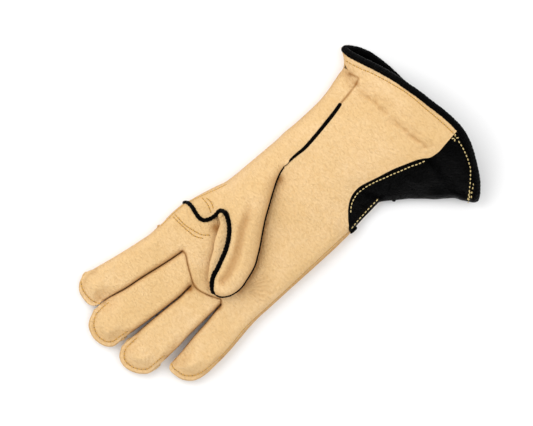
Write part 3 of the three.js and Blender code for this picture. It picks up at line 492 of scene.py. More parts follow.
def add_mesh(name, vertices, faces, material, wall=0.0, shade=None):
    """An object from vertices in millimetres and faces, shaded smooth, with an optional wall inwards. The
    attribute shade tells the leather how much painted shade darkens its colour at each vertex."""
    mesh = bpy.data.meshes.new(name)
    mesh.vertices.add(len(vertices))
    mesh.vertices.foreach_set("co", (np.asarray(vertices, np.float32) * MM).ravel())
    faces = np.asarray(faces, np.int32)
    mesh.loops.add(faces.size)
    mesh.loops.foreach_set("vertex_index", faces.ravel())
    mesh.polygons.add(len(faces))
    mesh.polygons.foreach_set("loop_start", np.arange(0, faces.size, faces.shape[1], dtype=np.int32))
    mesh.update(calc_edges=True)
    mesh.shade_smooth()
    mesh.materials.append(material)
    if shade is not None:
        layer = mesh.attributes.new("shade", "FLOAT", "POINT")
        layer.data.foreach_set("value", np.asarray(shade, np.float32).ravel())
    piece = place_object(name, mesh)
    if wall:
        solid = piece.modifiers.new("wall", "SOLIDIFY")
        solid.thickness = wall * MM
        solid.offset = -1
        solid.use_even_offset = False
    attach(piece, "root")
    return piece


def grid_faces(rows, columns, start=0, flip=False):
    """Quads of a rows x columns grid of points; unflipped, they face up when columns run along +x
    and rows along +y."""
    index = start + np.arange(rows * columns).reshape(rows, columns)
    corners = [index[:-1, :-1], index[:-1, 1:], index[1:, 1:], index[1:, :-1]]
    quads = np.stack(corners, axis=-1).reshape(-1, 4)
    return quads[:, ::-1] if flip else quads


def crowd(count, first=0.0, last=0.0):
    """Shares from 0 to 1, closer together near the first and last end by the given strengths."""
    reach = 0.07
    s = np.linspace(0, 1, 2001)
    density = 1 + first * np.exp(-s / reach) + last * np.exp((s - 1) / reach)
    total = np.concatenate([[0], np.cumsum((density[1:] + density[:-1]) / 2)])
    return np.interp(np.linspace(0, total[-1], count), total, s)


def join(*runs):
    """One border from runs of points that meet end to end."""
    return np.concatenate([runs[0]] + [run[1:] for run in runs[1:]])


def coons(bottom, top, left, right, rounds=0):
    """A plan grid spanned by four borders, a Coons patch: the blend of the two pairs of facing borders,
    less the blend of the four corners."""
    s = ((shares(bottom) + shares(top)) / 2)[None, :, None]
    t = ((shares(left) + shares(right)) / 2)[:, None, None]
    plan = (1 - t) * bottom[None] + t * top[None] + (1 - s) * left[:, None] + s * right[:, None]
    low = (1 - s) * bottom[0] + s * bottom[-1]
    high = (1 - s) * top[0] + s * top[-1]
    corners = (1 - t) * low + t * high
    return relax(plan - corners, 1 / np.diff(s, axis=1), 1 / np.diff(t, axis=0), rounds)


def patch(bottom, top, left, right, across, along):
    """A plan grid between four lines, read at shares across for two of them and along for the others."""
    return coons(read(bottom, across), read(top, across), read(left, along), read(right, along))


def relax(plan, across, along, rounds):
    """Evens out a plan grid so that no cell folds over: again and again each inner point moves to the mean
    of its four neighbours, the nearer ones weighing more."""
    west, east = across[:, :-1], across[:, 1:]
    south, north = along[:-1], along[1:]
    total = west + east + south + north
    for _ in range(rounds):
        across_sum = west * plan[1:-1, :-2] + east * plan[1:-1, 2:]
        along_sum = south * plan[:-2, 1:-1] + north * plan[2:, 1:-1]
        plan[1:-1, 1:-1] = (across_sum + along_sum) / total
    return plan


def sheet(name, patches, material, flip=False, shade=painted_shade):
    """A leather panel: plan patches lifted by their height formulas, joined where their borders meet."""
    vertices, faces, deep = [], [], []
    start = 0
    for plan, height in patches:
        x, y = plan[..., 0], plan[..., 1]
        vertices.append(np.stack([x, y, height(x, y)], axis=-1).reshape(-1, 3))
        faces.append(grid_faces(*plan.shape[:2], start=start, flip=(winding(plan) < 0) != flip))
        deep.append(np.clip(shade(x, y), 0, 1).ravel())
        start += plan.shape[0] * plan.shape[1]
    vertices, faces, deep = (np.concatenate(part) for part in (vertices, faces, deep))
    piece = add_mesh(name, vertices, faces, material, LEATHER, deep)
    weld(piece)
    return piece


def winding(plan):
    """Positive where a plan grid runs anticlockwise, seen from above."""
    across = plan[1:-1, -1] - plan[1:-1, 0]
    along = plan[2:, 0] - plan[:-2, 0]
    return float(np.sum(across[:, 0] * along[:, 1] - across[:, 1] * along[:, 0]))


def weld(piece, reach=0.02):
    """Joins vertices that lie on each other, such as the borders of neighbouring patches."""
    work = bmesh.new()
    work.from_mesh(piece.data)
    bmesh.ops.remove_doubles(work, verts=work.verts, dist=reach * MM)
    work.to_mesh(piece.data)
    work.free()


def sweep(name, path, section, material, closed=False):
    """A bar along a 3-D path. The section gives (side, up) offsets for each angle round it and each
    length run; side lies level and square to the path, and up is square to both. An open bar's ends
    close in a quarter round."""
    path = np.asarray(path, float)
    if closed:
        forward = np.roll(path, -1, axis=0) - np.roll(path, 1, axis=0)
    else:
        forward = np.gradient(path, axis=0)
    forward = unit(forward)
    side = unit(np.cross(np.array([0, 0, 1.0]), forward))
    up = np.cross(forward, side)
    around = np.linspace(0, 2 * np.pi, 24, endpoint=False)
    run = lengths(path)
    a, b = section(around[None, :], run[:, None])
    if not closed:
        end_length, smallest = 1.6, 0.02
        near = np.clip(np.minimum(run, run[-1] - run) / end_length, smallest, 1)
        closing = np.sqrt(1 - (1 - near) ** 2)[:, None]
        a, b = a * closing, b * closing
    points = path[:, None] + side[:, None] * a[..., None] + up[:, None] * b[..., None]
    count, n = points.shape[:2]
    index = np.arange(count * n).reshape(count, n)
    ahead = np.roll(index, -1, axis=0) if closed else index[1:]
    here = index if closed else index[:-1]
    corners = [here, ahead, np.roll(ahead, -1, axis=1), np.roll(here, -1, axis=1)]
    quads = np.stack(corners, axis=-1).reshape(-1, 4)
    piece = add_mesh(name, points.reshape(-1, 3), quads, material)
    face_outwards(piece, fill=True)
    return piece


def face_outwards(piece, fill=False):
    """Turns every face outwards, after closing the open ends with a face each where fill is set."""
    work = bmesh.new()
    work.from_mesh(piece.data)
    if fill:
        bmesh.ops.holes_fill(work, edges=[e for e in work.edges if e.is_boundary], sides=0)
    bmesh.ops.recalc_face_normals(work, faces=work.faces)
    work.to_mesh(piece.data)
    work.free()


def beads(name, places, ahead, up, size, material):
    """Many small rounded bars: one ellipsoid of a few faces, carried to each place and turned so that
    its length follows ahead and its top follows up."""
    rings, around = 6, 8
    lat = np.linspace(-np.pi / 2, np.pi / 2, rings)
    lon = np.linspace(0, 2 * np.pi, around, endpoint=False)
    bead = np.stack([np.sin(lat)[:, None] * np.ones(around), np.cos(lat)[:, None] * np.cos(lon),
                     np.cos(lat)[:, None] * np.sin(lon)], axis=-1).reshape(-1, 3)
    ahead = unit(ahead)
    side = unit(np.cross(up, ahead))
    turn = np.stack([ahead, side, np.cross(ahead, side)], axis=1)
    points = places[:, None] + (bead * np.array(size)) @ turn
    index = np.arange(rings * around).reshape(rings, around)
    nxt = np.roll(index, -1, axis=1)
    quads = np.stack([index[:-1], nxt[:-1], nxt[1:], index[1:]], axis=-1).reshape(-1, 4)
    faces = (quads[None] + rings * around * np.arange(len(places))[:, None, None]).reshape(-1, 4)
    piece = add_mesh(name, points.reshape(-1, 3), faces, material)
    weld(piece, 0.001)
    face_outwards(piece)
    return piece


# Materials

class Wire:
    """One socket of a material's nodes; arithmetic written on it adds Math nodes."""

    def __init__(self, tree, socket=None):
        self.tree = tree
        self.socket = socket

    def node(self, kind, settings=None, values=None, output=0):
        """Adds a node: its settings first, then the values or links of its inputs. Gives one output."""
        made = self.tree.nodes.new(kind)
        for key, value in (settings or {}).items():
            if key == "stops":
                elements = made.color_ramp.elements
                elements[0].position = value[0][0]
                elements[-1].position = value[-1][0]
                for place, _ in value[1:-1]:
                    elements.new(place)
                for element, (_, colour) in zip(elements, value):
                    element.color = colour
            else:
                setattr(made, key, value)
        for key, value in (values or {}).items():
            if isinstance(value, Wire):
                self.tree.links.new(value.socket, made.inputs[key])
            else:
                made.inputs[key].default_value = value
        return Wire(self.tree, made.outputs[output])

    def math(self, operation, first, second):
        return self.node("ShaderNodeMath", {"operation": operation}, {0: first, 1: second})

    def __add__(self, other):
        return self.math("ADD", self, other)

    def __radd__(self, other):
        return self.math("ADD", other, self)

    def __sub__(self, other):
        return self.math("SUBTRACT", self, other)

    def __rsub__(self, other):
        return self.math("SUBTRACT", other, self)

    def __mul__(self, other):
        return self.math("MULTIPLY", self, other)

    def __rmul__(self, other):
        return self.math("MULTIPLY", other, self)

    def between(self, low, high):
        """0 at low, 1 at high, smooth between and held beyond."""
        return self.node("ShaderNodeMapRange", {"interpolation_type": "SMOOTHSTEP"},
                         {"Value": self, "From Min": low, "From Max": high})

    def blend(self, first, second):
        """First colour where this is 0, second where it is 1."""
        return self.node("ShaderNodeMix", {"data_type": "RGBA"}, {0: self, 6: first, 7: second}, output=2)

    def noise(self, place, size, detail=2.0, roughness=0.5, distortion=0.0):
        """Cloudy noise, about 0 to 1, with features of the given size in millimetres."""
        return self.node("ShaderNodeTexNoise", None,
                         {"Vector": place, "Scale": 1 / (size * MM), "Detail": detail,
                          "Roughness": roughness, "Distortion": distortion})


def finish(name, roughness, specular):
    """A new material with its shader's steady values set, and a wire to start its nodes from."""
    material = bpy.data.materials.new(name)
    material.use_nodes = True
    tree = material.node_tree
    shader = tree.nodes["Principled BSDF"]
    shader.inputs["Roughness"].default_value = roughness
    shader.inputs["Specular IOR Level"].default_value = specular
    return material, Wire(tree), shader


def feed(wire, shader, key, value):
    """Links a wire to one of the shader's sockets."""
    wire.tree.links.new(value.socket, shader.inputs[key])


def emboss(wire, shader, strength, relief, height):
    """Links a bump, its relief in metres, to the shader's normal."""
    values = {"Strength": strength, "Distance": relief, "Height": height}
    feed(wire, shader, "Normal", wire.node("ShaderNodeBump", None, values))


def tan_leather():
    """Cream deerskin: cloudy colour with a slanting grain and fine pores, and painted shade that makes it
    deeper and more orange where the attribute shade is high, over small soft wrinkles."""
    material, wire, shader = finish("deerskin", 0.62, 0.35)
    place = wire.node("ShaderNodeTexCoord", output=3)
    shade = wire.node("ShaderNodeAttribute", {"attribute_name": "shade"}, output=2)
    cloud = wire.noise(place, 55, 4, 0.6, 0.6).between(0.3, 0.7)
    small = wire.noise(place, 9, 5, 0.6, 0.3).between(0.25, 0.75)
    slanted = wire.node("ShaderNodeMapping", None,
                        {"Vector": place, "Rotation": (0, 0, 0.7), "Scale": (1, 1.7, 1)})
    grain = wire.noise(slanted, 2.6, 3, 0.6, 0.5)
    pore = wire.noise(place, 0.9, 3, 0.6)
    skin = cloud.blend(HIDE_DEEP, HIDE_PALE)
    skin = (small * 0.4).blend(skin, HIDE_WARM)
    skin = (grain.between(0.40, 0.68) * 0.42).blend(skin, HIDE_GRAIN)
    skin = (pore.between(0.45, 0.75) * 0.22).blend(skin, HIDE_GRAIN)
    # painted shade: the colour turns deeper and more orange by the attribute shade, in creases, seams and
    # hollows and along edges
    skin = shade.blend(skin, HIDE_SHADE)
    feed(wire, shader, "Base Color", skin)
    height = wire.noise(place, 14, 4, 0.5, 0.4) * 1.6 - grain * 1.5 - pore * 0.25
    emboss(wire, shader, 0.8, 0.0016, height)
    feed(wire, shader, "Roughness", 0.56 + 0.14 * small)
    return material


def dark_leather(name, grain, specular, relief):
    """Black leather: a pebbled grain of the given size in millimetres with a faint grey painted highlight
    on its crests, crinkled to the given relief in metres and glossy."""
    material, wire, shader = finish(name, 0.4, specular)
    place = wire.node("ShaderNodeTexCoord", output=3)
    pebble = wire.node("ShaderNodeTexVoronoi", {"feature": "F1"},
                       {"Vector": place, "Scale": 1 / (grain * MM)})
    soft = wire.noise(place, 6, 4, 0.6, 0.4)
    crest = (1 - pebble) * 0.5 + soft * 0.6
    # painted highlight: the crests of the pebble and of the soft noise are lightened to grey
    feed(wire, shader, "Base Color", crest.between(0.55, 1.0).blend(BLACK_LOW, BLACK_CREST_HIGHLIGHT))
    crinkle = wire.noise(place, 3.5, 5, 0.65, 1.2)
    height = (1 - pebble) * 0.3 + soft * 1.1 + crinkle * 1.2 + wire.noise(place, 16, 3, 0.5) * 1.6
    emboss(wire, shader, 0.9, relief, height)
    feed(wire, shader, "Roughness", 0.2 + 0.2 * soft)
    return material


def thread(name, colour, deep):
    """Twisted sewing thread: fine fibres that shift its colour between two tones."""
    material, wire, shader = finish(name, 0.55, 0.4)
    place = wire.node("ShaderNodeTexCoord", output=3)
    ply = wire.noise(place, 0.5, 2, 0.5)
    feed(wire, shader, "Base Color", ply.between(0.35, 0.7).blend(deep, colour))
    emboss(wire, shader, 0.4, 0.0002, ply)
    return material


HIDE_PALE = (0.86, 0.60, 0.32, 1)
HIDE_DEEP = (0.78, 0.52, 0.24, 1)
HIDE_WARM = (0.79, 0.52, 0.23, 1)
HIDE_GRAIN = (0.66, 0.39, 0.15, 1)
HIDE_SHADE = (0.38, 0.17, 0.04, 1)
BLACK_LOW = (0.0005, 0.0005, 0.0006, 1)
# painted highlight colour for the crests of the black leather
BLACK_CREST_HIGHLIGHT = (0.0050, 0.0054, 0.0064, 1)

deerskin = tan_leather()
black_hide = dark_leather("black_hide", 0.9, 0.04, 0.0065)
black_trim = dark_leather("black_trim", 0.7, 0.035, 0.003)
# painted shade: the same thread as pale_thread, made darker and browner for the rows on tan leather, where
# the stitch dimples shade it
shaded_gold_thread = thread("shaded_gold_thread", (0.66, 0.38, 0.07, 1), (0.48, 0.25, 0.04, 1))
pale_thread = thread("pale_thread", (0.80, 0.66, 0.34, 1), (0.55, 0.40, 0.14, 1))
# painted shade: dark brown for the flat beads that stand in for the shade in the needle holes between
# stitches
painted_hole_shade = thread("painted_hole_shade", (0.34, 0.17, 0.05, 1), (0.20, 0.09, 0.02, 1))


# Leather panels

def inside(x, y, outline):
    """True where a place lies inside a closed outline: an odd number of sides cross its level line."""
    odd = np.zeros(np.shape(x), bool)
    p = np.asarray(outline, float)
    for (x1, y1), (x2, y2) in zip(p, np.roll(p, -1, axis=0)):
        level = (y1 > y) != (y2 > y)
        cross = x1 + (y - y1) * (x2 - x1) / (y2 - y1 + TINY)
        odd ^= level & (x < cross)
    return odd


COVERING_EDGE = CROTCH_WELT + THUMB_ROOT[1:] + WRIST_SEAM[1:]
COVERED = [(-90, -37.4)] + COVERING_EDGE + [(-56, 135), (-69, 137), (-90, 139)]


def palm_height(x, y):
    """The palm's skin, let down where the side leather and the thumb lie over it; near the cuff it comes
    up again before the flared rim."""
    line = distance(x, y, COVERING_EDGE)
    under = 1 - ramp(y + 0.3 * (x + 60), 128.5, 133)
    sunk = np.where(inside(x, y, COVERED), ramp(line, 0.3, 2.0), 0.0) * np.where(y > 110, under, 1)
    return upper_skin(x, y) - UNDERLAP * sunk


def side_height(x, y):
    """The side leather and the thumb's outer leather, sinking into the fold below the flared rim."""
    hollow = ramp(y, 119, 131) * ramp(x, -66, -61)
    return upper_skin(x, y) + thumb_lift(x, y) - CUFF_HOLLOW * hollow


# How the points are spread across and along the panels: first across, then the palm's runs along
index_columns = crowd(44, 5, 4)
knuckle_columns = crowd(60, 1.5, 1.5)
little_columns = crowd(44, 4, 5)
palm_rows = [crowd(34, 4, 0), crowd(30), crowd(44), crowd(30), crowd(34), crowd(40, 0, 2)]
PALM_LEFT = ([(-71.6, -66), (-71.5, -60), (-72.3, -52), (-72.1, -42)] + UNDER_SIDE
             + [(-72.3, 134.4), (-80, 138.5)])
LITTLE_SIDE = LITTLE_EDGE[3:] + GUSSET_SEAM[1:]


def runs(line, stops, places):
    """A border in several runs between stops of its own points, each read at its own places."""
    return join(*(read(stretch(line, a, b), at) for a, b, at in zip(stops, stops[1:], places)))


LEFT_STOPS = [(-71.6, -66), (-71.8, -37.4), (-55, -14), (-51, 40), (-51, 80), (-69, 132.2), (-80, 138.5)]
RIGHT_STOPS = [(37, -67), (36, -45), (35.9, -20), (34.5, 45), (12, 73), (29, 126.5), (30, 162.2)]
palm_left = runs(PALM_LEFT, LEFT_STOPS, palm_rows)
palm_right = runs(LITTLE_SIDE, RIGHT_STOPS, palm_rows)
palm_bottom = join(read(INDEX_ROOT, index_columns), read([(-44, -65)] + KNUCKLE_SEAM[1:], knuckle_columns),
                   read(LITTLE_ROOT, little_columns))
palm_top = read(FRONT_RIM, shares(palm_bottom))


def finger_plan(outline, low_left, low_right, root, columns, count, rounds=300):
    """A finger's plan: its root and the end of its tip are two borders, its sides the others. The tip's
    border runs between the outline's points low_left and low_right."""
    length = crowd(count, 3, 0)
    return coons(read(stretch(outline, low_left, low_right), columns), read(root, columns),
                 read(stretch(outline, outline[0], low_left), 1 - length[::-1])[::-1],
                 read(stretch(outline, low_right, outline[-1]), length), rounds)


index_plan = finger_plan(INDEX_OUTLINE, (-79.5, -142), (-60, -146.5), INDEX_ROOT, index_columns, 85)
little_plan = finger_plan(LITTLE_OUTLINE, (20, -135), (38, -126), LITTLE_ROOT, little_columns, 75)
palm_plan = coons(palm_bottom, palm_top, palm_left, palm_right)
palm_patches = [(palm_plan, palm_height), (index_plan, upper_skin), (little_plan, upper_skin)]
palm = sheet("palm_leather", palm_patches, deerskin, shade=palm_painted_shade)
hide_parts("palm")

middle_plan = finger_plan([(-44, -63.8)] + MIDDLE_OUTLINE[1:] + [(-19, -75)], (-52, -156), (-25, -155),
                          stretch(KNUCKLE_SEAM, (-44, -63.8), (-19, -75)), crowd(56, 3, 3), 100)
middle = sheet("middle_finger_leather", [(middle_plan, upper_skin)], deerskin)
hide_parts("middle_front")

ring_plan = finger_plan([(-19, -75)] + RING_OUTLINE, (-18, -153), (7, -152.5),
                        stretch(KNUCKLE_SEAM, (-19, -75), (8, -70)), crowd(56, 3, 3), 95)
ring = sheet("ring_finger_leather", [(ring_plan, upper_skin)], deerskin)
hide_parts("ring_front")

side_rows = [crowd(26, 2, 0), crowd(60), crowd(80, 0, 2)]
side_left = runs(OUTER_EDGE, [(-72, -38), (-66, -15), (-60, 40), (-67, 129)], side_rows)
SIDE_RIGHT = COVERING_EDGE[5:]
side_right = runs(SIDE_RIGHT, [(-51, -35), (-48, -21), (-40, 41), (-51, 129)], side_rows)
side_columns = crowd(50, 3, 0)
side_plan = coons(read([(-72, -38)] + CROTCH_WELT[1:6], side_columns),
                  read([(-67, 129), (-60, 130.5), (-51, 129)], side_columns), side_left, side_right)
thumb_plan = finger_plan(THUMB_NEAR + THUMB_FAR[1:], (-12.5, -59), (7.5, -58),
                         stretch(SIDE_RIGHT, (-48, -21), (-40, 41)), side_rows[1], 110, rounds=0)
side_patches = [(side_plan, side_height), (thumb_plan, side_height)]
side = sheet("side_and_thumb_leather", side_patches, deerskin, shade=side_painted_shade)
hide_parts("side_panel")


def thumb_underside():
    """The thumb's underside: at each station from root to tip a smooth arc leaves the near edge, swells
    out to the roll line, runs back flat over the palm and climbs to the far edge. Each point of an arc
    lies a share of the way between two lines, and rises a share of the way from the palm to the rim."""
    stations = 90
    near = read(THUMB_NEAR, crowd(stations, 0, 3))
    roll = read(THUMB_ROLL, crowd(stations, 0, 3))
    far = read(THUMB_FAR[::-1], crowd(stations, 0, 3))
    across = [(near, near, 0.0, 1.0), (near, roll, 0.72, 0.9), (near, roll, 1.0, 0.55),
              (roll, far, 0.12, 0.1), (roll, far, 0.5, 0.04), (roll, far, 0.9, 0.12), (roll, far, 1.0, 1.0)]
    below_rim, above_palm = 0.4, 0.2
    rim = side_height(near[:, 0], near[:, 1]) - below_rim
    far_rim = side_height(far[:, 0], far[:, 1]) - below_rim
    points = []
    for k, (a, b, f, rise) in enumerate(across):
        plan = a + (b - a) * f
        low = upper_skin(plan[:, 0], plan[:, 1]) + above_palm
        top = rim + (far_rim - rim) * (k / (len(across) - 1))
        points.append(np.column_stack([plan, low + (top - low) * rise]))
    points = np.stack(points, axis=1)
    at = np.linspace(0, len(across) - 1, 41)
    return np.stack([cubic(column, np.arange(len(across)), at) for column in points])


under = thumb_underside()
under_shade = 0.6 * dent(under[..., 2] - upper_skin(under[..., 0], under[..., 1]), 2.5)
thumb_under = add_mesh("thumb_underside_leather", under.reshape(-1, 3), grid_faces(*under.shape[:2]),
                       deerskin, shade=under_shade)
face_outwards(thumb_under)
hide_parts("thumb_front")

back_rows = [crowd(110), crowd(80, 0, 2)]
BACK_LEFT = [(-71.6, -66)] + OUTER_EDGE[6:]
back_left = runs(BACK_LEFT, [(-71.6, -66), (-60, 40), (-80, 138.5)], back_rows)
back_right = runs(LITTLE_EDGE[3:] + GUSSET_BACK[1:], [(37, -67), (34.5, 45), (30.5, 157.5)], back_rows)
MIDDLE_ROOT = [(-44, -65), (-19, -78)]
RING_ROOT = [(-19, -78), (8, -70)]
back_columns = crowd(40, 4, 4)
back_bottom = join(read(INDEX_ROOT, index_columns), read(MIDDLE_ROOT, back_columns),
                   read(RING_ROOT, back_columns), read(LITTLE_ROOT, little_columns))
back_top = read(stretch([(-80, 138.5)] + BACK_RIM[1:], (-80, 138.5), (30, 157.5)), shares(back_bottom))
back_top[-1] = (30.5, 157.5)


def raw_edge(plan, centre, tip):
    """A finger's plan with the edge of its tip moved outwards from the tip's centre, most in the middle
    of the tip and not at all at its two ends."""
    way = plan - np.array(centre, float)
    way /= np.linalg.norm(way, axis=-1)[..., None] + TINY
    x, y = plan[..., 0], plan[..., 1]
    ends = np.minimum(np.hypot(x - tip[0, 0], y - tip[0, 1]), np.hypot(x - tip[-1, 0], y - tip[-1, 1]))
    out = RAW_EDGE * (1 - ramp(distance(x, y, tip), 0, 3)) * ramp(ends, 0, 20)
    return plan + out[..., None] * way


back_middle = finger_plan(MIDDLE_OUTLINE, (-52, -156), (-25, -155), MIDDLE_ROOT, back_columns, 80)
back_ring = finger_plan(RING_OUTLINE, (-18, -153), (7, -152.5), RING_ROOT, back_columns, 80)
back_fingers = [(raw_edge(plan, centre, tip), lower_skin) for plan, centre, tip
                in zip((index_plan, back_middle, back_ring, little_plan), TIP_CENTRES, TIPS)]
back_plan = coons(back_bottom, back_top, back_left, back_right)
back = sheet("back_leather", [(back_plan, lower_skin)] + back_fingers, deerskin, flip=True)
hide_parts("back")


# Gusset, facings and trim

FOLD_CREASE = [(30, 82), (26, 78), (21, 75), (16, 74)]
fold_edge = GUSSET_BACK[:6] + [(32.2, 79)] + GUSSET_FOLD


def gusset_height(x, y):
    """The gusset's front layer: it leaves the seam with the palm, falls to the fold and turns under;
    below the fold's end it drops on to the lower layer."""
    soft = quarter(distance(x, y, fold_edge), GUSSET_ROUND)
    z = SEAM_LEVEL + (mound(x, y) - GUSSET_DROP - SEAM_LEVEL) * soft
    crease = 1.6 * dent(distance(x, y, GUSSET_CREASE), 2.4) + 1.2 * dent(distance(x, y, FOLD_CREASE), 2.0)
    return z + (0.7 * waves(x, y, 30, 8) + 0.3 * waves(x, y, 11, 9) - crease) * soft


def gusset_under(x, y):
    """The gusset's back layer, flat on the table and turned up to the fold."""
    return SEAM_LEVEL * (1 - quarter(distance(x, y, fold_edge), 4.5))


gusset_front = patch([(34.5, 45), (34.6, 45.1)], GUSSET_RIM, GUSSET_SEAM, fold_edge,
                     crowd(70, 2, 3), crowd(150, 0, 1))
gusset_back = patch([(31.6, 79), (31.7, 79.1)], stretch(BACK_RIM, (30, 157.5), (82.5, 134)),
                    [(31.6, 79), (31.2, 100), (31, 120), (30.5, 140), (30, 157.5)],
                    [(31.6, 79)] + GUSSET_FOLD, crowd(50, 0, 4), crowd(80, 0, 1))
gusset = sheet("gusset_leather", [(gusset_front, gusset_height)], black_hide)
gusset_lower = sheet("gusset_lower_leather", [(gusset_back, gusset_under)], black_hide, flip=True)
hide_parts("gusset")


def rim_height(x, y):
    """The front rim's height: the palm's skin on its own part and the gusset's beyond it."""
    own = mound(x, y)
    left = quarter(distance(x, y, OUTER_EDGE), EDGE_ROUND)
    right = quarter(distance(x, y, fold_edge), 6.0)
    return SEAM_LEVEL + (own - SEAM_LEVEL) * left * right


facing_low = [(-50, 131), (-40, 131), (-20, 124), (0, 128), (20, 130), (35, 129), (48, 122), (56, 116)]
facing_plan = patch(facing_low, FRONT_RIM[1:] + GUSSET_RIM[1:-1], [(-50, 131), (-62, 136.5), (-75, 139.3)],
                    [(56, 116), (68, 128), (80, 138.8)], crowd(60), crowd(26))


def facing_height(x, y):
    """The front facing's height: under the leather and its creases."""
    return rim_height(x, y) - FACING_DROP - creases(x, y)


def back_facing_height(x, y):
    """The back facing's height: on the inside of the back leather."""
    return lower_skin(x, y) + BACK_FACING_LIFT


facing_front = sheet("front_facing", [(facing_plan, facing_height)], black_hide)
facing_bottom = [
    (-56, 117), (-40, 127), (-20, 129.5), (10, 131), (30, 130.5), (45, 127), (54, 121), (58, 115),
]
facing_under = patch(facing_bottom, [(-73, 143.5)] + BACK_RIM[2:-1],
                     [(-56, 117), (-60.5, 129), (-73, 143.5)], [(58, 115), (68, 127), (80, 136)],
                     crowd(60), crowd(26))
facing_back = sheet("back_facing", [(facing_under, back_facing_height)], black_hide)
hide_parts("facing_front")
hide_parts("facing_back")


def lifted(line, count, height, lift=0.0):
    """A smooth plan line as 3-D points on a height formula."""
    p = even(line, count)
    return np.column_stack([p, height(p[:, 0], p[:, 1]) + lift])


front_path = lifted(FRONT_RIM + GUSSET_RIM[1:], 330, rim_height, -0.4)
back_path = lifted(BACK_RIM[::-1][1:-1], 300, lambda x, y: 0 * x + BACK_FACING_LIFT)
rim_path = np.vstack([front_path, back_path])
for _ in range(30):
    rim_path = 0.5 * rim_path + 0.25 * (np.roll(rim_path, 1, axis=0) + np.roll(rim_path, -1, axis=0))
rim_path = even(np.vstack([rim_path, rim_path[:1]]), 700)[:-1]


def binding_section(angle, run):
    """A flattened round, with a low ridge and a groove along its top and slight puckers."""
    pucker = 1 + 0.03 * np.sin(run * 1.9) + 0.02 * np.sin(run * 0.7)
    ridge = 0.7 * np.exp(-((angle - 1.75) / 0.26) ** 2) - 0.6 * np.exp(-((angle - 2.25) / 0.26) ** 2)
    side = BINDING_WIDTH / 2 * np.cos(angle) * pucker
    return side, (BINDING_THICKNESS / 2 + ridge) * np.sin(angle) * pucker


binding = sweep("cuff_binding_roll", rim_path, binding_section, black_trim, closed=True)
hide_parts("cuff_binding")


def bead_section(radius):
    """A round bead with small puckers where its stitches pull."""
    def section(angle, run):
        pucker = 1 + 0.07 * np.sin(run * 2.1) + 0.04 * np.sin(run * 0.83 + 1)
        return radius * pucker * np.cos(angle), radius * pucker * np.sin(angle)
    return section


welt_path = lifted(CROTCH_WELT + THUMB_NEAR[1:], 420, side_height, 0.2)
on_thumb = ramp(welt_path[:, 0], -47, -42) * (1 - 0.7 * ramp(welt_path[:, 0], -9, -3))
welt_path[:, 2] += WELT_LIFT * on_thumb


def thumb_bead(angle, run):
    """The welt's round bead, a fifth wider along the thumb."""
    side, up = bead_section(WELT_RADIUS)(angle, run)
    return side * (1 + WELT_SWELL * on_thumb[:, None]), up


welt = sweep("thumb_welt_bead", welt_path, thumb_bead, black_trim)
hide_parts("thumb_welt")
far_path = lifted(THUMB_FAR, 300, side_height, -0.4)
far_welt = sweep("thumb_far_welt", far_path, bead_section(FAR_WELT_RADIUS), black_trim)
wrist_path = lifted(WRIST_SEAM[:9] + [(-47, 108)], 200, palm_height, 0.1)


def band_section(angle, run):
    """A flat band that widens slowly along the wrist."""
    width = np.interp(run, [0, 20, 50, 70], [0.8, 1.4, 1.7, 1.5])
    return width * np.cos(angle), BAND_HALF * np.sin(angle)


def tab_section(angle, run):
    """A small oval."""
    return TAB_HALF[0] * np.cos(angle) + 0 * run, TAB_HALF[1] * np.sin(angle) + 0 * run


wrist_welt = sweep("wrist_welt_band", wrist_path, band_section, black_trim)
tab_path = np.array([(34.4, 44.5, 7.2), (34.6, 47, 7.2), (34.6, 49.5, 7.0), (34.4, 52, 6.8)])
tab = sweep("side_tab", even(tab_path, 20), tab_section, black_trim)
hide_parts("gusset_tab")


# Stitches

def stitch_rows(name, rows, height, material, holes=True):
    """Rows of stitches lying on a surface: each is a small bar along its row, square to the surface, and
    on pale leather a flat dark bead of painted shade follows it, for the shade in its needle hole's dimple."""
    lift, near = 0.12, 0.6
    places, ahead, up = [], [], []
    for line in rows:
        fine = even(line, 400)
        count = max(2, int(round(lengths(fine)[-1] / STITCH_PITCH)) + 1)
        p = even(fine, count)
        step = unit(np.gradient(p, axis=0))
        x, y = p[:, 0], p[:, 1]
        slope_x = (height(x + near, y) - height(x - near, y)) / (2 * near)
        slope_y = (height(x, y + near) - height(x, y - near)) / (2 * near)
        places.append(np.column_stack([x, y, height(x, y) + lift]))
        up.append(np.column_stack([-slope_x, -slope_y, np.ones(count)]))
        ahead.append(np.column_stack([step, slope_x * step[:, 0] + slope_y * step[:, 1]]))
    places, ahead, up = (np.concatenate(v) for v in (places, ahead, up))
    piece = beads(name, places, ahead, up, (STITCH_LENGTH / 2, THREAD, THREAD * 0.8), material)
    if holes:
        # painted shade: a flat dark bead in the gap after each stitch, for the shade in its needle hole
        gaps = places + unit(ahead) * STITCH_PITCH / 2
        gaps[:, 2] -= lift
        hole_shade_beads = beads(name + "_holes", gaps, ahead, up, (HOLE, HOLE * 0.9, 0.1), painted_hole_shade)


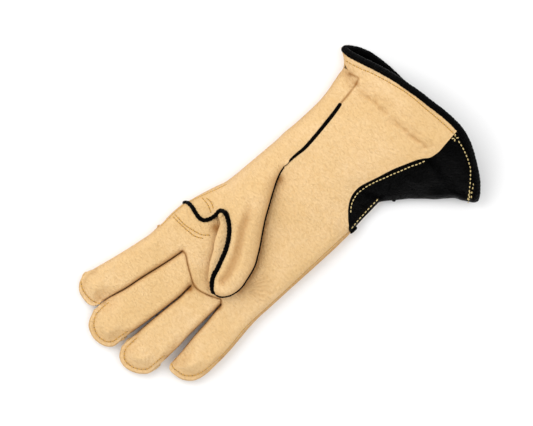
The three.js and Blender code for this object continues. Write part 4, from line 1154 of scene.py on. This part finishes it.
tip_rows = [
    [(-79.5, -141), (-75, -143.5), (-67, -144.5), (-60, -143), (-57.5, -141.5)],
    [(-53, -136), (-53.2, -144), (-52.2, -150), (-49, -154.5), (-46, -157), (-40, -159.3), (-33.5, -158.5),
     (-30, -156.5), (-27.6, -153), (-27, -148), (-26, -141)],
    [(-17, -138), (-16.7, -148), (-15.5, -151.5), (-13, -154.6), (-10, -156.2), (-7, -156.5), (-2, -155.5),
     (2, -153.3), (5, -150.5), (7.2, -147), (7.6, -140), (7.9, -132)],
    [(17.5, -131), (20, -131.7), (25, -131), (30, -129.5), (34, -126), (37, -121), (38.4, -113),
     (38.6, -100), (37.8, -88), (36, -77), (34.6, -67), (34.2, -55), (34.2, -45), (34, -20), (33.6, 0),
     (33.2, 20), (33, 42)],
]
crotch_rows = [
    [(-70.2, -62), (-70.7, -56), (-71, -50), (-71, -44), (-70.8, -40)],
    [(-69, -49), (-63, -48.8), (-58, -48.5), (-52, -47), (-46, -45), (-43, -43.5), (-40, -40.5)],
    [(-69, -51.3), (-65, -51), (-58, -50.5), (-52, -49.8), (-46, -48.5), (-42, -46)],
]
side_stitch_rows = [
    [(-70.2, -36), (-67.8, -27.5), (-65, -19), (-62.6, -11.5), (-60.5, -4)],
    [(-64.5, -24), (-61, -24), (-57, -24.5), (-53, -26)],
    [(-62, -21.5), (-58, -21), (-54, -22.5)],
]
cuff_row = [
    [(-69, 134), (-65, 135), (-60, 136.7), (-55, 138.7), (-50, 141), (-40, 144.6), (-30, 147.7),
     (-20, 150.4), (-10, 152.2), (0, 153.2), (10, 154.6), (20, 155.7), (28, 156.3)],
]
stitch_rows("finger_stitches", tip_rows, upper_skin, shaded_gold_thread)
stitch_rows("crotch_patch_stitches", crotch_rows, upper_skin, shaded_gold_thread)
stitch_rows("side_patch_stitches", side_stitch_rows, side_height, shaded_gold_thread)
stitch_rows("cuff_stitches", cuff_row, upper_skin, shaded_gold_thread)
gusset_rows = [
    [(31, 125), (29.5, 120.5), (27.5, 116), (25.8, 111), (23.8, 105), (22, 100), (20.5, 95), (18.8, 90),
     (17.5, 86), (16, 80), (15.3, 75), (15, 70), (16, 66), (17.5, 62), (20, 58.5), (22, 56.5)],
    [(29.5, 78), (30, 70), (30.8, 62), (31.5, 55), (32.5, 49)],
    [(38, 155.5), (43, 154.8), (48, 153.5), (53, 152), (57, 150.3), (60, 148.8), (64, 145.5), (68, 142),
     (71, 139), (74, 136), (77, 132.5)],
]
corner_tack = [[(31.8, 156.6), (34.6, 153.8)], [(32.6, 153.6), (34.6, 156.6)]]
fold_tack = [
    [(75.2, 137.8), (77.6, 135.4)],
    [(74.2, 136.6), (76.6, 134.2)],
    [(71, 143), (73, 140.5)],
    [(78, 132.6), (79.4, 130.8)],
]
black_rows = gusset_rows + corner_tack + fold_tack
stitch_rows("gusset_stitches", black_rows, gusset_height, pale_thread, holes=False)
back_row = [[(-62, 149), (-57, 150.3), (-52, 151), (-46, 151.8)]]
stitch_rows("back_facing_stitches", back_row, back_facing_height, pale_thread, holes=False)


# Floor, light and camera

def stage_floor():
    """A wide pale floor under the glove."""
    mesh = bpy.data.meshes.new("floor")
    half = 3.0
    corners = [(-half, -half, 0), (half, -half, 0), (half, half, 0), (-half, half, 0)]
    mesh.from_pydata(corners, [], [(0, 1, 2, 3)])
    material, wire, shader = finish("floor_paint", 0.9, 0.1)
    shader.inputs["Base Color"].default_value = (0.93, 0.93, 0.93, 1)
    mesh.materials.append(material)
    floor = place_object("floor", mesh)


def lamp(name, place, aim, size, power):
    """A square soft light at a place, facing an aim, in metres."""
    data = bpy.data.lights.new(name, "AREA")
    data.shape = "SQUARE"
    data.size = size
    data.energy = power
    light = place_object(name, data)
    light.location = place
    light.rotation_euler = (Vector(aim) - Vector(place)).to_track_quat("-Z", "Y").to_euler()


stage_floor()
lamp("key", (-1.1, -0.15, 1.25), (0, 0, 0), 1.3, 13.5)
lamp("fill", (0.8, 0.9, 1.6), (0, 0, 0), 1.6, 8)
world = bpy.data.worlds.new("studio")
world.use_nodes = True
world.node_tree.nodes["Background"].inputs["Color"].default_value = (1, 1, 1, 1)
world.node_tree.nodes["Background"].inputs["Strength"].default_value = 0.86
bpy.context.scene.world = world
bpy.context.scene.view_settings.view_transform = "Standard"

# The camera looks straight down at the middle of the picture, which is turned to the photograph's angle
VIEW_WIDTH = 426.4
VIEW_MIDDLE = (-21.8, 5.9)
VIEW_TURN = 48
CAMERA_HEIGHT = 2200.0
SENSOR = 36
camera_data = bpy.data.cameras.new("camera")
camera_data.sensor_width = SENSOR
camera_data.lens = SENSOR * CAMERA_HEIGHT / VIEW_WIDTH
camera_data.clip_end = 20
camera = place_object("camera", camera_data)
camera.location = (VIEW_MIDDLE[0] * MM, VIEW_MIDDLE[1] * MM, CAMERA_HEIGHT * MM)
camera.rotation_euler = (0, 0, math.radians(VIEW_TURN))
bpy.context.scene.camera = camera

# The side strips between the fingers are shown as the CAD has them, in the leather's material
for node in ("fourchette_index_middle", "fourchette_middle_ring", "fourchette_ring_little"):
    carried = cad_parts[node]
    for slot in carried.material_slots:
        slot.material = deerskin
